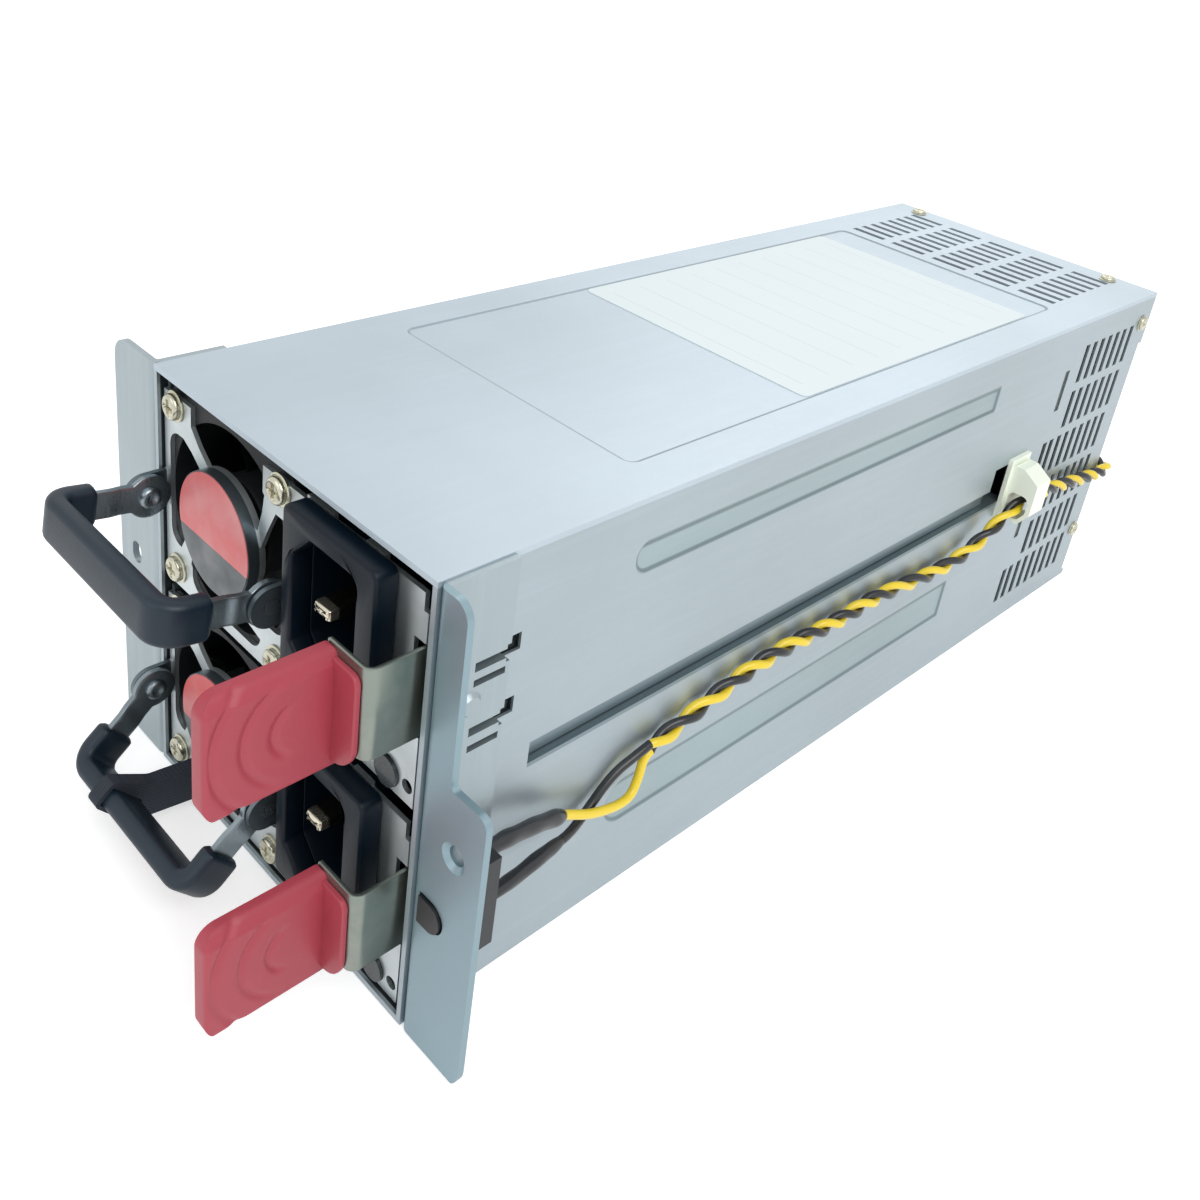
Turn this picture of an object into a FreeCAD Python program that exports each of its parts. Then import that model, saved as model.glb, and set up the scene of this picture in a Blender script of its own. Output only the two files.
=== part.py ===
import FreeCAD, Part

import math
import os

from FreeCAD import Vector as V

# Hot swap server power supply: a sheet steel cage that carries two plug-in supply modules,
# one above the other. Lengths in mm. X runs across, Y runs from the front to the rear and
# Z runs up. The shapes are drawn from the cage's front plane and moved at export, so that
# the row's origin is the middle of the underside.

os.makedirs("parts", exist_ok=True)

# ---- cage
CAGE_W = 76.2
CAGE_H = 84.0
CAGE_D = 228.0
SHEET = 1.0
BASE_T = 1.2
REAR_STEP = 1.5          # the walls end this far ahead of the rear face, low down
REAR_STEP_Z = CAGE_H - 13.6
SHELF_T = 0.8
SHELF_Y = (21.2, CAGE_D - 56.7)
NOTCH_Y = (CAGE_D - 65.0, CAGE_D - 57.8)     # notch above the rear end of the side slot
BANDS = ((39.5, CAGE_D - 75.0, CAGE_H - 14.5, CAGE_H - 8.0),
         (42.0, CAGE_D - 74.0, 15.5, 25.8))
EMBOSS_DEEP = 0.4
VENT_W = 2.0
VENT_PITCH = 4.05
VENT_ROWS = 6
VENT_ROW_Z = 11.5
VENT_ROW_PITCH = (CAGE_H - 23.6) / (VENT_ROWS - 1)
VENT_L = VENT_ROW_PITCH - 2.28
VENT_COLS = 7
LONG_ROWS = (0, 3)       # rows with two more slots towards the front
VENT_Y = CAGE_D - 34.0   # first column of the side vents
TOP_VENT_L = 9.5
TOP_VENT_W = 1.8
TOP_VENT_X = -0.9
TOP_VENT_Y = CAGE_D - 36.0
TOP_VENT_ROWS = 8
TOP_VENT_PITCH_X = (CAGE_W - 3.6) / 6
RECESS_X = (7.4 - CAGE_W / 2, CAGE_W / 2 - 8.6)
RECESS_Y = (45.0, CAGE_D - 40.0)
RECESS_DEEP = 0.3
LABEL_W = RECESS_X[1] - RECESS_X[0] - 1.7
LABEL_L = 85.0
LABEL_T = 0.15
LABEL_EDGE = 1.0         # label to recess, on the right
LABEL_BACK = 10.5        # label to recess, at the rear
REAR_LIP = 8.0           # flanges of the rear tray
RIVET_SHANK = 1.2
RIVET_HEAD = (2.1, 1.5, 0.7)
SCREW_SHANK = 1.3
SCREW_HEAD = (2.1, 1.0)
SCREW_LONG = 2.6

# ---- brackets
BRACKET_T = 1.2
BRACKET_LEG = 13.5
FLANGE_OUT = 14.2        # how far a flange reaches out from the cage side
FLANGE_HIGH_OUT = 6.4    # the same above the step of the right flange
FLANGE_STEP_Z = CAGE_H - 30.5
FLANGE_CORNER = 4.0
MOUNT_X = CAGE_W / 2 + 8.25
MOUNT_Z = CAGE_H / 2 + 0.4
TAP_R = 1.6
COLLAR_R = 2.75
COLLAR_END = 3.2

# ---- reset button (D outline), its switch and the lead sleeves
D_OFF = 4.6              # centre of the round side, out from the cage side
D_CENTRE = CAGE_W / 2 + D_OFF
D_FLAT = D_CENTRE - 2.7
D_R = 2.9
D_Z = MOUNT_Z - 14.4
BUTTON_FACE = -0.5
BUTTON_END = 4.2
BUTTON_GAP = 0.3
SWITCH_BACK = 9.5
SWITCH = (D_FLAT - 0.4, D_FLAT + 6.6, BRACKET_T, SWITCH_BACK, D_Z - 8.5, D_Z + 9.0)
SWITCH_POCKET = 5.5
SLEEVE_START = SWITCH_BACK + 0.1
LEAD_X = CAGE_W / 2      # the leads' places across are counted from the right wall
SLEEVE_A = ((LEAD_X + 4.9, SLEEVE_START, D_Z + 7.2), (LEAD_X + 4.7, 16.5, D_Z + 7.2),
            (LEAD_X + 3.1, 28.0, D_Z + 2.0))
SLEEVE_B = ((LEAD_X + 4.9, SLEEVE_START, D_Z - 3.6), (LEAD_X + 4.5, 17.0, D_Z - 3.7),
            (LEAD_X + 2.9, 28.5, D_Z - 4.0))
SLEEVE_R = (1.4, 1.25)
SLEEVE_BEND = (6.0, 12.0)

# ---- module
MOD_SIDE = 0.35          # running gap beside the module
MOD_LIFT = 0.3           # running gap under the lower module
SHELF_GAP = 0.25         # running gap above and below the shelf
HEADROOM = 1.0           # gap over the upper module
MOD_W = CAGE_W - 2 * (SHEET + MOD_SIDE)
MOD_H = (CAGE_H - SHEET - BASE_T - SHELF_T - MOD_LIFT - 2 * SHELF_GAP - HEADROOM) / 2
MOD_D = CAGE_D - 65.0
MOD_PITCH = MOD_H + SHELF_T + 2 * SHELF_GAP
MOD_SHEET = 0.8
MOD_HALF = MOD_W / 2
MOD_UP = MOD_H / 2
FRONT_Y = 1.0
SHEET_Y = FRONT_Y + MOD_SHEET
STANDOFFS = tuple((side * (MOD_HALF - 5.75), y) for y in (40.0, MOD_D - 13.0)
                  for side in (-1, 1))
STANDOFF_R = 2.6
COVER_BACK = 3.0         # the cover's front edge lies behind the front plate
PILOT_R = 1.1
REAR_SLOTS = tuple((MOD_HALF - 6.75) * k / 3 for k in range(-3, 4))

# ---- fan
INLET_SPAN = (30.75, 7.75)   # inlet's sides, counted in from the module's right side
FAN_ROOM = (1.0, 3.75)       # beside the fan: to the module's side and to the inlet
FAN = min(MOD_H - 1.6, MOD_W - INLET_SPAN[0] - sum(FAN_ROOM))
FAN_DEEP = 28.0
FAN_X = -MOD_HALF + FAN / 2 + FAN_ROOM[0]
FAN_HOLE = FAN / 2 - 3.0     # half the fan's screw pitch
BORE_R = FAN / 2 - 0.9
TIP_R = BORE_R - 0.5
HUB_R = 8.9
BLADES = 7
BLADE_TILT = 35.0
STICKER_R = 10.75
SHAFT_R = 1.5
FAN_BACK = 2.5               # thickness of the rear struts and the bearing disc
FAN_SCREW = (2.8, 1.5, 1.4, 8.0)     # head radius and height, shank radius and length
GUARD_HALF = FAN_HOLE - 5.0          # open half width between two screw pads
GUARD_LOW = BORE_R - 0.6
GUARD_RISE = 2.2         # the guard's middle dish stands this far ahead of the plate
GUARD_SPOKES = ((45, 18), (135, 128), (225, 200), (315, 272))    # pad and hub angles
TOP_DROP = 1.8                       # the front plate's top edge lies this far down
TOP_TABS = ((0.4, 7.2), (15.0, 19.6))    # counted from the inlet's left side

# ---- inlet (upright, earth blade towards the fan)
INLET_X = tuple(MOD_HALF - gap for gap in INLET_SPAN)
INLET_Z = (-MOD_UP + 7.6, MOD_UP - 1.0)
INLET_Y = -3.0
INLET_DEEP = 25.0
INLET_LIP = 2.0          # the bezel's overlap on the plate above the body
SOCKET_X = (INLET_X[0] + 2.5, INLET_X[1] - 4.5)
SOCKET_HALF = (INLET_Z[1] - INLET_Z[0]) / 2 - 3.3
SOCKET_MID = (INLET_Z[1] + INLET_Z[0]) / 2
SOCKET_DEEP = 16.0
SOCKET_CHAMFER = 4.5
SOCKET_R = 2.0
EARTH_X = SOCKET_X[0] + 5.5
EARTH_TIP = 1.8          # how far the earth blade's tip lies behind the bezel
POLE_TIP = 7.0
BLADE_STEP = 4.0
BLADE_SIZE = (4.0, 2.0)
BLADE_GAP = 7.0
BLADE_TAIL = 4.0

# ---- handle
PIVOT_Y = -3.2
PIVOT_DZ = -1.0
ARM_T = 1.2
ARM_H = 5.0
PIVOT_DISC_R = 3.9
PIN_R = 1.4
RUN = 0.05               # radial running clearance of every pin and shaft
GRIP_REACH = 18.8
GRIP_LEG = 9.0
GRIP_WALL = 3.6
GRIP_H = 7.5
GRIP_X = (-MOD_HALF + 0.25, INLET_X[0] - 1.9)
ARM_LEFT_X = GRIP_X[0] + 1.1
ARM_RIGHT_X = GRIP_X[1] - 1.1
EARS = ((GRIP_X[0] - 0.1, GRIP_X[0] + 0.8), (GRIP_X[1] - 0.8, GRIP_X[1] + 0.1))
EAR_HALF = 3.6
PIN_HEAD = (2.0, 0.9)
UPPER_REST = 8.0
LOWER_REST = -42.0
STRAP_X = (GRIP_X[0] + 11.0, GRIP_X[0] + 14.0)

# ---- latch
LATCH_X = MOD_HALF - 0.95
LATCH_T = 0.8
LATCH_PIVOT_Y = 25.0
LATCH_END = LATCH_PIVOT_Y + 2.0
LATCH_FRONT_Y = -8.5
LATCH_BEND = 1.6
LATCH_Z = (-6.0, 9.5)
LATCH_TEETH = ((4.7, 6.5), (-5.7, -3.9))
TOOTH_Y = (12.9, 16.3)
TOOTH_RAMP = 1.6
TOOTH_OUT = MOD_HALF - 0.1
TOOTH_ROOM = 0.5             # window round each tooth in the module's side
GRIP_PLATE_X = (LATCH_X - 9.3, LATCH_X - 6.3)
GRIP_PLATE_Y = (-28.5, -8.5)
GRIP_PLATE_Z = (-10.7, 9.3)
PAD_END = LATCH_X - 1.3
PAD_T = 1.0
GROOVE_R = (4.5, 9.0, 13.5)
GROOVE_HALF = 0.6
GROOVE_DEEP = 0.4
GROOVE_Y = GRIP_PLATE_Y[1] - 5.5
GROOVE_TALL = 7.2
LED_R = 2.75
LED_AT = (MOD_HALF - 7.45, -MOD_UP + 3.2)

# ---- boards and connectors
BOARD_Y = CAGE_D - 41.5
BOARD_T = 1.6
BOARD_TABS = ((CAGE_H - 22.8, CAGE_H - 12.3), (26.0, 31.0))
PCB_Z = -MOD_UP + 6.8
PCB_T = 1.6
PCB_X = MOD_HALF - 2.25
PCB_Y = (SHEET_Y + FAN_DEEP + 4.2, MOD_D - 5.0)
TONGUE_X = 15.0
TONGUE_END = MOD_D + 11.0
CONN_X = 20.0
CONN_Y = (MOD_D + 2.7, BOARD_Y - BOARD_T / 2)
CONN_Z = (PCB_Z - 5.5, PCB_Z + 7.0)
CONN_GAP = 0.3
SINK_X = (MOD_HALF - 19.75, MOD_HALF - 17.25, MOD_HALF - 9.75)
SINK_Y = (52.0, MOD_D - 31.0)
FINS = 5
FIN_PITCH = 3.0
FIN_T = 1.2
PART_TOP = MOD_UP - MOD_SHEET    # underside of the module's cover
CAP_R = 9.0

# ---- leads
WIRE_R = 0.85
PAIR_R = 1.7
PAIR_X = CAGE_W / 2 + 1.9
PAIR_START = V(PAIR_X, 49.5, D_Z + 3.9)
PAIR_NEXT = V(PAIR_X, 60.0, D_Z + 6.2)
PAIR_BACK = CAGE_D + 2.8
PAIR_EXIT = CAGE_D - 7.0
PAIR_BEND = 18.0
LEAD_BEND = (6.0, 4.5)       # black, yellow
OUTLET_R = 12.0
OUTLET_Z = CAGE_H / 2 - 0.2
OUTLET_WALL = 1.5
PAIR_OUT = (CAGE_W / 2 - 5.1, 34.0)
PAIR_HOLE_R = 2.6
PAIR_LIP = 0.4
CLIP_Y = (CAGE_D - 59.4, CAGE_D - 50.6)
CLIP_LOOP_Y = (CAGE_D - 58.0, CAGE_D - 51.5)
CLIP_Z = (38.0, 53.2)
CLIP_BASE = 1.0

HALF = CAGE_W / 2
INNER = HALF - SHEET
TOP_Z = CAGE_H - SHEET
LOW_MID = BASE_T + MOD_LIFT + MOD_H / 2
HIGH_MID = LOW_MID + MOD_PITCH
SHELF_Z = LOW_MID + MOD_PITCH / 2 - SHELF_T / 2
SLOT_TOP = SHELF_Z + 5.05    # top of the long side slot above the shelf tab
SIDE_SCREWS = ((CAGE_D - 4.4, CAGE_H - 7.4), (CAGE_D - 4.0, 15.9))
TOP_SCREWS = ((8.1 - HALF, CAGE_D - 4.0), (HALF - 11.6, CAGE_D - 4.0))
BRACKET_RIVETS = {1: ((7.5, 8.0), (6.6, HIGH_MID - 0.6)),
                  -1: ((7.5, 8.0), (7.5, CAGE_H - 24.6), (7.5, CAGE_H - 7.0))}
KEEPER_SLOTS = tuple((HIGH_MID + dz, y0, y1, tall) for dz, y0, y1, tall in
                     ((5.6, 7.0, 12.9, 1.6), (5.6, 12.8, 16.5, 3.0), (2.8, 7.0, 12.8, 1.2),
                      (-5.9, 7.0, 12.9, 1.6), (-5.9, 12.8, 16.5, 3.0), (-9.0, 7.0, 12.8, 1.2)))
AXES = {"x": V(1, 0, 0), "y": V(0, 1, 0), "z": V(0, 0, 1)}


def at(axis, u, v, w):
    """Point with w along the axis and u, v on the other two, in X, Y, Z order."""
    return {"x": V(w, u, v), "y": V(u, w, v), "z": V(u, v, w)}[axis]


def box(x0, x1, y0, y1, z0, z1):
    return Part.makeBox(x1 - x0, y1 - y0, z1 - z0, V(x0, y0, z0))


def rod(axis, r, u, v, a, b):
    """Cylinder about (u, v), from a to b along the axis."""
    return Part.makeCylinder(r, b - a, at(axis, u, v, a), AXES[axis])


def cone(axis, r0, r1, u, v, a, b):
    return Part.makeCone(r0, r1, b - a, at(axis, u, v, a), AXES[axis])


def plate(axis, corners, a, b):
    """Prism of a closed outline. A corner is (u, v) or (u, v, radius)."""
    pts = [V(c[0], c[1], 0) for c in corners]
    radii = [c[2] if len(c) > 2 else 0.0 for c in corners]
    n = len(pts)
    edges = []
    spans = []
    for i in range(n):
        p, q, s = pts[i - 1], pts[i], pts[(i + 1) % n]
        if radii[i] <= 0:
            spans.append((q, q, q))
            continue
        back = (p - q).normalize()
        on = (s - q).normalize()
        half = back.getAngle(on) / 2
        reach = radii[i] / math.tan(half)
        mid = (back + on).normalize() * (radii[i] / math.sin(half) - radii[i])
        spans.append((q + back * reach, q + mid, q + on * reach))
    for i in range(n):
        start, mid, end = spans[i]
        if radii[i] > 0:
            edges.append(Part.Arc(at(axis, start.x, start.y, a), at(axis, mid.x, mid.y, a),
                                  at(axis, end.x, end.y, a)).toShape())
        ahead = spans[(i + 1) % n][0]
        if end.distanceToPoint(ahead) > 1e-6:
            edges.append(Part.LineSegment(at(axis, end.x, end.y, a),
                                          at(axis, ahead.x, ahead.y, a)).toShape())
    face = Part.Face(Part.Wire(edges))
    return face.extrude(AXES[axis] * (b - a))


def rounded(axis, u0, u1, v0, v1, r, a, b):
    """Rectangle with one corner radius, drawn out from a to b."""
    return plate(axis, [(u0, v0, r), (u1, v0, r), (u1, v1, r), (u0, v1, r)], a, b)


def slab(side, x0, x1, y0, y1, z0, z1):
    """Box whose X limits are counted outward from the middle, on one side."""
    lo, hi = sorted((side * x0, side * x1))
    return box(lo, hi, y0, y1, z0, z1)


def side_plate(side, corners, x0, x1):
    """Outline in (y, z) drawn out between two distances from the middle, on one side."""
    lo, hi = sorted((side * x0, side * x1))
    return plate("x", corners, lo, hi)


def fuse(shapes):
    first = shapes[0]
    return first.multiFuse(shapes[1:]).removeSplitter() if len(shapes) > 1 else first


def tube(name, points, r, bends):
    """Round cord along straight runs joined by tangent arcs. Prints how full the sweep is.

    The bends are the wanted radii at the inner points, in order.
    """
    pts = [V(*p) for p in points]
    edges = []
    here = pts[0]
    radii = []
    for i in range(1, len(pts) - 1):
        back = (pts[i - 1] - pts[i]).normalize()
        on = (pts[i + 1] - pts[i]).normalize()
        angle = back.getAngle(on)
        if math.pi - angle < 1e-3:
            continue
        room = min((pts[i] - here).Length, (pts[i + 1] - pts[i]).Length * 0.49)
        radius = min(bends[i - 1], 0.98 * room * math.tan(angle / 2))
        reach = radius / math.tan(angle / 2)
        mid = pts[i] + (back + on).normalize() * (radius / math.sin(angle / 2) - radius)
        start, end = pts[i] + back * reach, pts[i] + on * reach
        edges.append(Part.LineSegment(here, start).toShape())
        edges.append(Part.Arc(start, mid, end).toShape())
        radii.append(round(radius, 2))
        here = end
    edges.append(Part.LineSegment(here, pts[-1]).toShape())
    path = Part.Wire(edges)
    ring = Part.Wire([Part.makeCircle(r, pts[0], (pts[1] - pts[0]).normalize())])
    swept = path.makePipeShell([ring], True, False)
    full = math.pi * r * r * path.Length
    print(f"{name}: volume over section x length {swept.Volume / full:.4f}, "
          f"bend radii {radii}, cord radius {r}")
    return swept


def save(node, shape):
    """Move to the row frame, check the solids and write one STEP file."""
    moved = shape.copy()
    moved.translate(V(0, -CAGE_D / 2, 0))
    bits = moved.Solids
    for bit in bits:
        if not bit.isValid() or bit.Volume < 0.01:
            raise ValueError(node + " holds a broken solid")
    whole = bits[0] if len(bits) == 1 else Part.makeCompound(bits)
    whole.exportStep(f"parts/{node}.step")
    print(f"{node}: {len(bits)} solid(s), {whole.Volume / 1000:.3f} cm3")


def screw(axis, u, v, seat, sign, head_r, head_t, shank_r, shank):
    """Pan head screw with a cross recess. The head stands off the seat towards sign."""
    def along(p, q):
        return tuple(sorted((seat + sign * p, seat + sign * q)))
    head = rod(axis, head_r, u, v, *along(0, head_t))
    rim = [e for e in head.Edges if e.Curve.TypeId == "Part::GeomCircle"
           and abs(e.CenterOfMass.dot(AXES[axis]) - (seat + sign * head_t)) < 1e-6]
    head = head.makeFillet(head_t * 0.55, rim)
    body = head.fuse(rod(axis, shank_r, u, v, *along(-shank, 0)))
    low, high = along(head_t * 0.45, head_t + 0.1)
    arm, thin = head_r * 0.55, head_r * 0.14
    for du, dv in ((arm, thin), (thin, arm)):
        p, q = at(axis, u - du, v - dv, low), at(axis, u + du, v + dv, high)
        body = body.cut(box(p.x, q.x, p.y, q.y, p.z, q.z))
    return body


# ---- cage panels

def wall(side):
    """Side wall with its long slot, two pressed bands, vents and screw holes."""
    body = slab(side, INNER, HALF, 0, CAGE_D, BASE_T, TOP_Z)
    cuts = [slab(side, INNER - 1, HALF + 1, CAGE_D - REAR_STEP, CAGE_D + 1, 0, REAR_STEP_Z),
            slab(side, INNER - 1, HALF + 1, *SHELF_Y, SHELF_Z, SLOT_TOP),
            slab(side, INNER - 1, HALF + 1, *NOTCH_Y, SLOT_TOP - 1, SLOT_TOP + 5.6)]
    for y0, y1, z0, z1 in BANDS:
        r = (z1 - z0) / 2 - 0.2
        cuts.append(side_plate(side, [(y0, z0, r), (y1, z0, 1.0), (y1, z1, 1.0), (y0, z1, r)],
                               HALF - EMBOSS_DEEP, HALF + 1))
    for row in range(VENT_ROWS):
        z = VENT_ROW_Z + VENT_ROW_PITCH * row
        extra = 2 if row in LONG_ROWS else 0
        for col in range(-extra, VENT_COLS):
            y = VENT_Y + VENT_PITCH * col
            if abs(y - BOARD_Y) < 1.0:
                y = BOARD_Y
            cuts.append(slab(side, INNER - 1, HALF + 1, y - VENT_W / 2, y + VENT_W / 2,
                             z - VENT_L / 2, z + VENT_L / 2))
    for z0, z1 in BOARD_TABS:
        cuts.append(slab(side, INNER - 1, HALF + 1, BOARD_Y - VENT_W / 2,
                         BOARD_Y + VENT_W / 2, z0, z1))
    if side > 0:
        for z, y0, y1, tall in KEEPER_SLOTS:
            cuts.append(slab(side, INNER - 1, HALF + 1, y0, y1, z - tall / 2, z + tall / 2))
    for y, z in BRACKET_RIVETS[side]:
        cuts.append(rod("x", RIVET_SHANK + RUN, y, z, *sorted((side * 30, side * 50))))
    for y, z in SIDE_SCREWS:
        cuts.append(rod("x", SCREW_SHANK + RUN, y, z, *sorted((side * 30, side * 50))))
    for cut in cuts:
        body = body.cut(cut)
    return body


def top_cover():
    """Top panel with the label recess and five groups of vents."""
    body = box(-HALF, HALF, 0, CAGE_D, TOP_Z, CAGE_H)
    body = body.cut(rounded("z", *RECESS_X, *RECESS_Y, 2.5, CAGE_H - RECESS_DEEP,
                            CAGE_H + 1))
    for group in range(5):
        x = TOP_VENT_X + TOP_VENT_PITCH_X * (group - 2)
        for row in range(TOP_VENT_ROWS):
            y = TOP_VENT_Y + VENT_PITCH * row
            body = body.cut(box(x - TOP_VENT_L / 2, x + TOP_VENT_L / 2, y - TOP_VENT_W / 2,
                                y + TOP_VENT_W / 2, TOP_Z - 1, CAGE_H + 1))
    for x, y in TOP_SCREWS:
        body = body.cut(rod("z", SCREW_SHANK + RUN, x, y, TOP_Z - 1, CAGE_H + 1))
    return body


def rear_panel():
    """Rear tray: a flat panel with flanges behind the walls and under the top."""
    face = CAGE_D - SHEET
    bits = [box(-INNER, INNER, face, CAGE_D, BASE_T, TOP_Z),
            box(-INNER + SHEET, INNER - SHEET, CAGE_D - REAR_LIP, face, TOP_Z - SHEET, TOP_Z)]
    for side in (-1, 1):
        bits.append(slab(side, INNER - SHEET, INNER, CAGE_D - REAR_LIP, face, BASE_T, TOP_Z))
    body = fuse(bits)
    for side in (-1, 1):
        for y, z in SIDE_SCREWS:
            body = body.cut(rod("x", SCREW_SHANK + RUN, y, z, *sorted((side * 30, side * 50))))
    for x, y in TOP_SCREWS:
        body = body.cut(rod("z", SCREW_SHANK + RUN, x, y, TOP_Z - 3, CAGE_H))
    body = body.cut(rod("y", OUTLET_R, 0, OUTLET_Z, face - 1, CAGE_D + 1))
    return body.cut(rod("y", PAIR_HOLE_R, *PAIR_OUT, face - 1, CAGE_D + 1))


def mid_shelf():
    """Shelf between the two bays. Its side tabs lie in the bottom of the long slots."""
    y0, y1 = SHELF_Y
    return box(-HALF, HALF, y0, y1, SHELF_Z, SHELF_Z + SHELF_T)


def bracket_outline(side):
    """L section of a bracket in (x, y), bent at the cage's front edge."""
    out = HALF + FLANGE_OUT
    pts = [(HALF, BRACKET_LEG), (HALF, 0, 1.7), (out, 0), (out, BRACKET_T),
           (HALF + BRACKET_T, BRACKET_T, 0.5), (HALF + BRACKET_T, BRACKET_LEG)]
    return [(side * p[0],) + tuple(p[1:]) for p in pts]


def d_shape(grow, y0, y1):
    """D outline of the reset button and of its holes, smaller or larger by grow."""
    r = D_R + grow
    half = rod("y", r, D_CENTRE, D_Z, y0, y1)
    flat = box(D_FLAT - grow, D_CENTRE, y0, y1, D_Z - r, D_Z + r)
    keep = box(D_FLAT - grow, D_CENTRE + r + 1, y0 - 1, y1 + 1, D_Z - r - 1, D_Z + r + 1)
    return half.fuse(flat).removeSplitter().common(keep)


def right_bracket():
    """Right mounting bracket: stepped flange, tapped collar and the reset button's hole."""
    high, out = HALF + FLANGE_HIGH_OUT, HALF + FLANGE_OUT
    body = plate("z", bracket_outline(1), 0, CAGE_H - 0.3)
    front = plate("y", [(HALF - 1, -1), (out, -1, FLANGE_CORNER), (out, FLANGE_STEP_Z, 2.0),
                        (high, FLANGE_STEP_Z, 1.0), (high, CAGE_H - 0.3, 3.0),
                        (HALF - 1, CAGE_H - 0.3)], -1, BRACKET_LEG + 1)
    body = body.common(front)
    body = body.fuse(rod("y", COLLAR_R, MOUNT_X, MOUNT_Z, 0.6, COLLAR_END)).removeSplitter()
    body = body.cut(rod("y", TAP_R, MOUNT_X, MOUNT_Z, -1, 5))
    body = body.cut(cone("y", TAP_R + 0.9, TAP_R, MOUNT_X, MOUNT_Z, 0, 0.7))
    body = body.cut(d_shape(0, -1, 3))
    for z, y0, y1, tall in KEEPER_SLOTS:
        body = body.cut(box(HALF - 1, HALF + 3, y0, y1, z - tall / 2, z + tall / 2))
    for y, z in BRACKET_RIVETS[1]:
        body = body.cut(rod("x", RIVET_SHANK + RUN, y, z, HALF - 1, HALF + 3))
    return body


def left_bracket():
    """Left mounting bracket: full height flange with one obround hole."""
    out = HALF + FLANGE_OUT
    body = plate("z", bracket_outline(-1), 0, CAGE_H)
    front = plate("y", [(-out, 0, FLANGE_CORNER), (-HALF + 1, 0), (-HALF + 1, CAGE_H),
                        (-out, CAGE_H, FLANGE_CORNER)], -1, BRACKET_LEG + 1)
    body = body.common(front)
    body = body.cut(rounded("y", -MOUNT_X - TAP_R, -MOUNT_X + TAP_R, MOUNT_Z - 2.2,
                            MOUNT_Z + 2.2, 1.55, -1, 3))
    for y, z in BRACKET_RIVETS[-1]:
        body = body.cut(rod("x", RIVET_SHANK + RUN, y, z, -HALF - 3, -HALF + 1))
    return body


def bracket_rivets():
    """Low headed rivets through each bracket leg and wall."""
    bits = []
    for side in (-1, 1):
        seat = HALF + BRACKET_T
        for y, z in BRACKET_RIVETS[side]:
            head = cone("x", *RIVET_HEAD[:2], y, z, 0, RIVET_HEAD[2])
            head = head.fuse(rod("x", RIVET_SHANK, y, z, -(BRACKET_T + SHEET), 0))
            head.translate(V(seat, 0, 0))
            if side < 0:
                head = head.mirror(V(0, 0, 0), V(1, 0, 0))
            bits.append(head)
    return Part.makeCompound(bits)


def cover_screws():
    """Six small pan head screws that hold the walls and the top to the rear tray."""
    bits = [screw("z", x, y, CAGE_H, 1, *SCREW_HEAD, SCREW_SHANK, SCREW_LONG)
            for x, y in TOP_SCREWS]
    for side in (-1, 1):
        bits += [screw("x", y, z, side * HALF, side, *SCREW_HEAD, SCREW_SHANK, SCREW_LONG)
                 for y, z in SIDE_SCREWS]
    return Part.makeCompound(bits)


def backplane_board():
    """Upright board across the bay ends. Its tabs sit in slots of the walls."""
    y0, y1 = BOARD_Y - BOARD_T / 2, BOARD_Y + BOARD_T / 2
    bits = [box(-INNER + 1, INNER - 1, y0, y1, 3.0, TOP_Z - 2.0)]
    for side in (-1, 1):
        for z0, z1 in BOARD_TABS:
            bits.append(slab(side, INNER - 2, HALF - 0.2, y0, y1, z0, z1 - 0.2))
    body = fuse(bits)
    for mid in (LOW_MID, HIGH_MID):
        body = body.cut(rounded("y", -24, 24, mid - 3, mid + 15, 2.0, y0 - 1, y1 + 1))
    return body


def bay_connectors():
    """One card edge receptacle per bay, on the front of the backplane."""
    bits = []
    for mid in (LOW_MID, HIGH_MID):
        block = box(-CONN_X, CONN_X, *CONN_Y, mid + CONN_Z[0], mid + CONN_Z[1])
        slot = box(-TONGUE_X - CONN_GAP, TONGUE_X + CONN_GAP, CONN_Y[0] - 1, TONGUE_END + 2.0,
                   mid + PCB_Z - CONN_GAP, mid + PCB_Z + PCB_T + CONN_GAP)
        bits.append(block.cut(slot))
    return Part.makeCompound(bits)


def cable_grommets():
    """Bushings in the rear panel: the large power outlet and the small one for the pair."""
    face = CAGE_D - SHEET
    big = rod("y", OUTLET_R - RUN, 0, OUTLET_Z, face, CAGE_D)
    for y0, y1 in ((face - 1.5, face), (CAGE_D, CAGE_D + 1.2)):
        big = big.fuse(rod("y", OUTLET_R + 2.0, 0, OUTLET_Z, y0, y1))
    bore = rod("y", OUTLET_R - OUTLET_WALL, 0, OUTLET_Z, face - 3, CAGE_D + 3)
    big = big.removeSplitter().cut(bore)
    small = rod("y", PAIR_HOLE_R - RUN, *PAIR_OUT, face, CAGE_D)
    small = small.fuse(rod("y", PAIR_HOLE_R + PAIR_LIP, *PAIR_OUT, face - 1.0, face))
    small = small.removeSplitter().cut(rod("y", PAIR_R + RUN, *PAIR_OUT, face - 2, CAGE_D + 1))
    return Part.makeCompound([big, small])


# ---- fittings on the cage

def reset_switch():
    """Push switch behind the right flange, with the button's pocket and two terminals."""
    return box(*SWITCH).cut(d_shape(0, 0, SWITCH_POCKET))


def reset_button():
    return d_shape(-BUTTON_GAP, BUTTON_FACE, BUTTON_END)


def lead_sleeves():
    return Part.makeCompound([tube(f"sleeve {k}", points, SLEEVE_R[k], [SLEEVE_BEND[k]])
                              for k, points in enumerate((SLEEVE_A, SLEEVE_B))])


def pair_ends():
    """Direction of the pair at its start and the offset of one wire from its middle."""
    along = (PAIR_NEXT - PAIR_START).normalize()
    return along, V(0, -along.z, along.y) * WIRE_R


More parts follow.
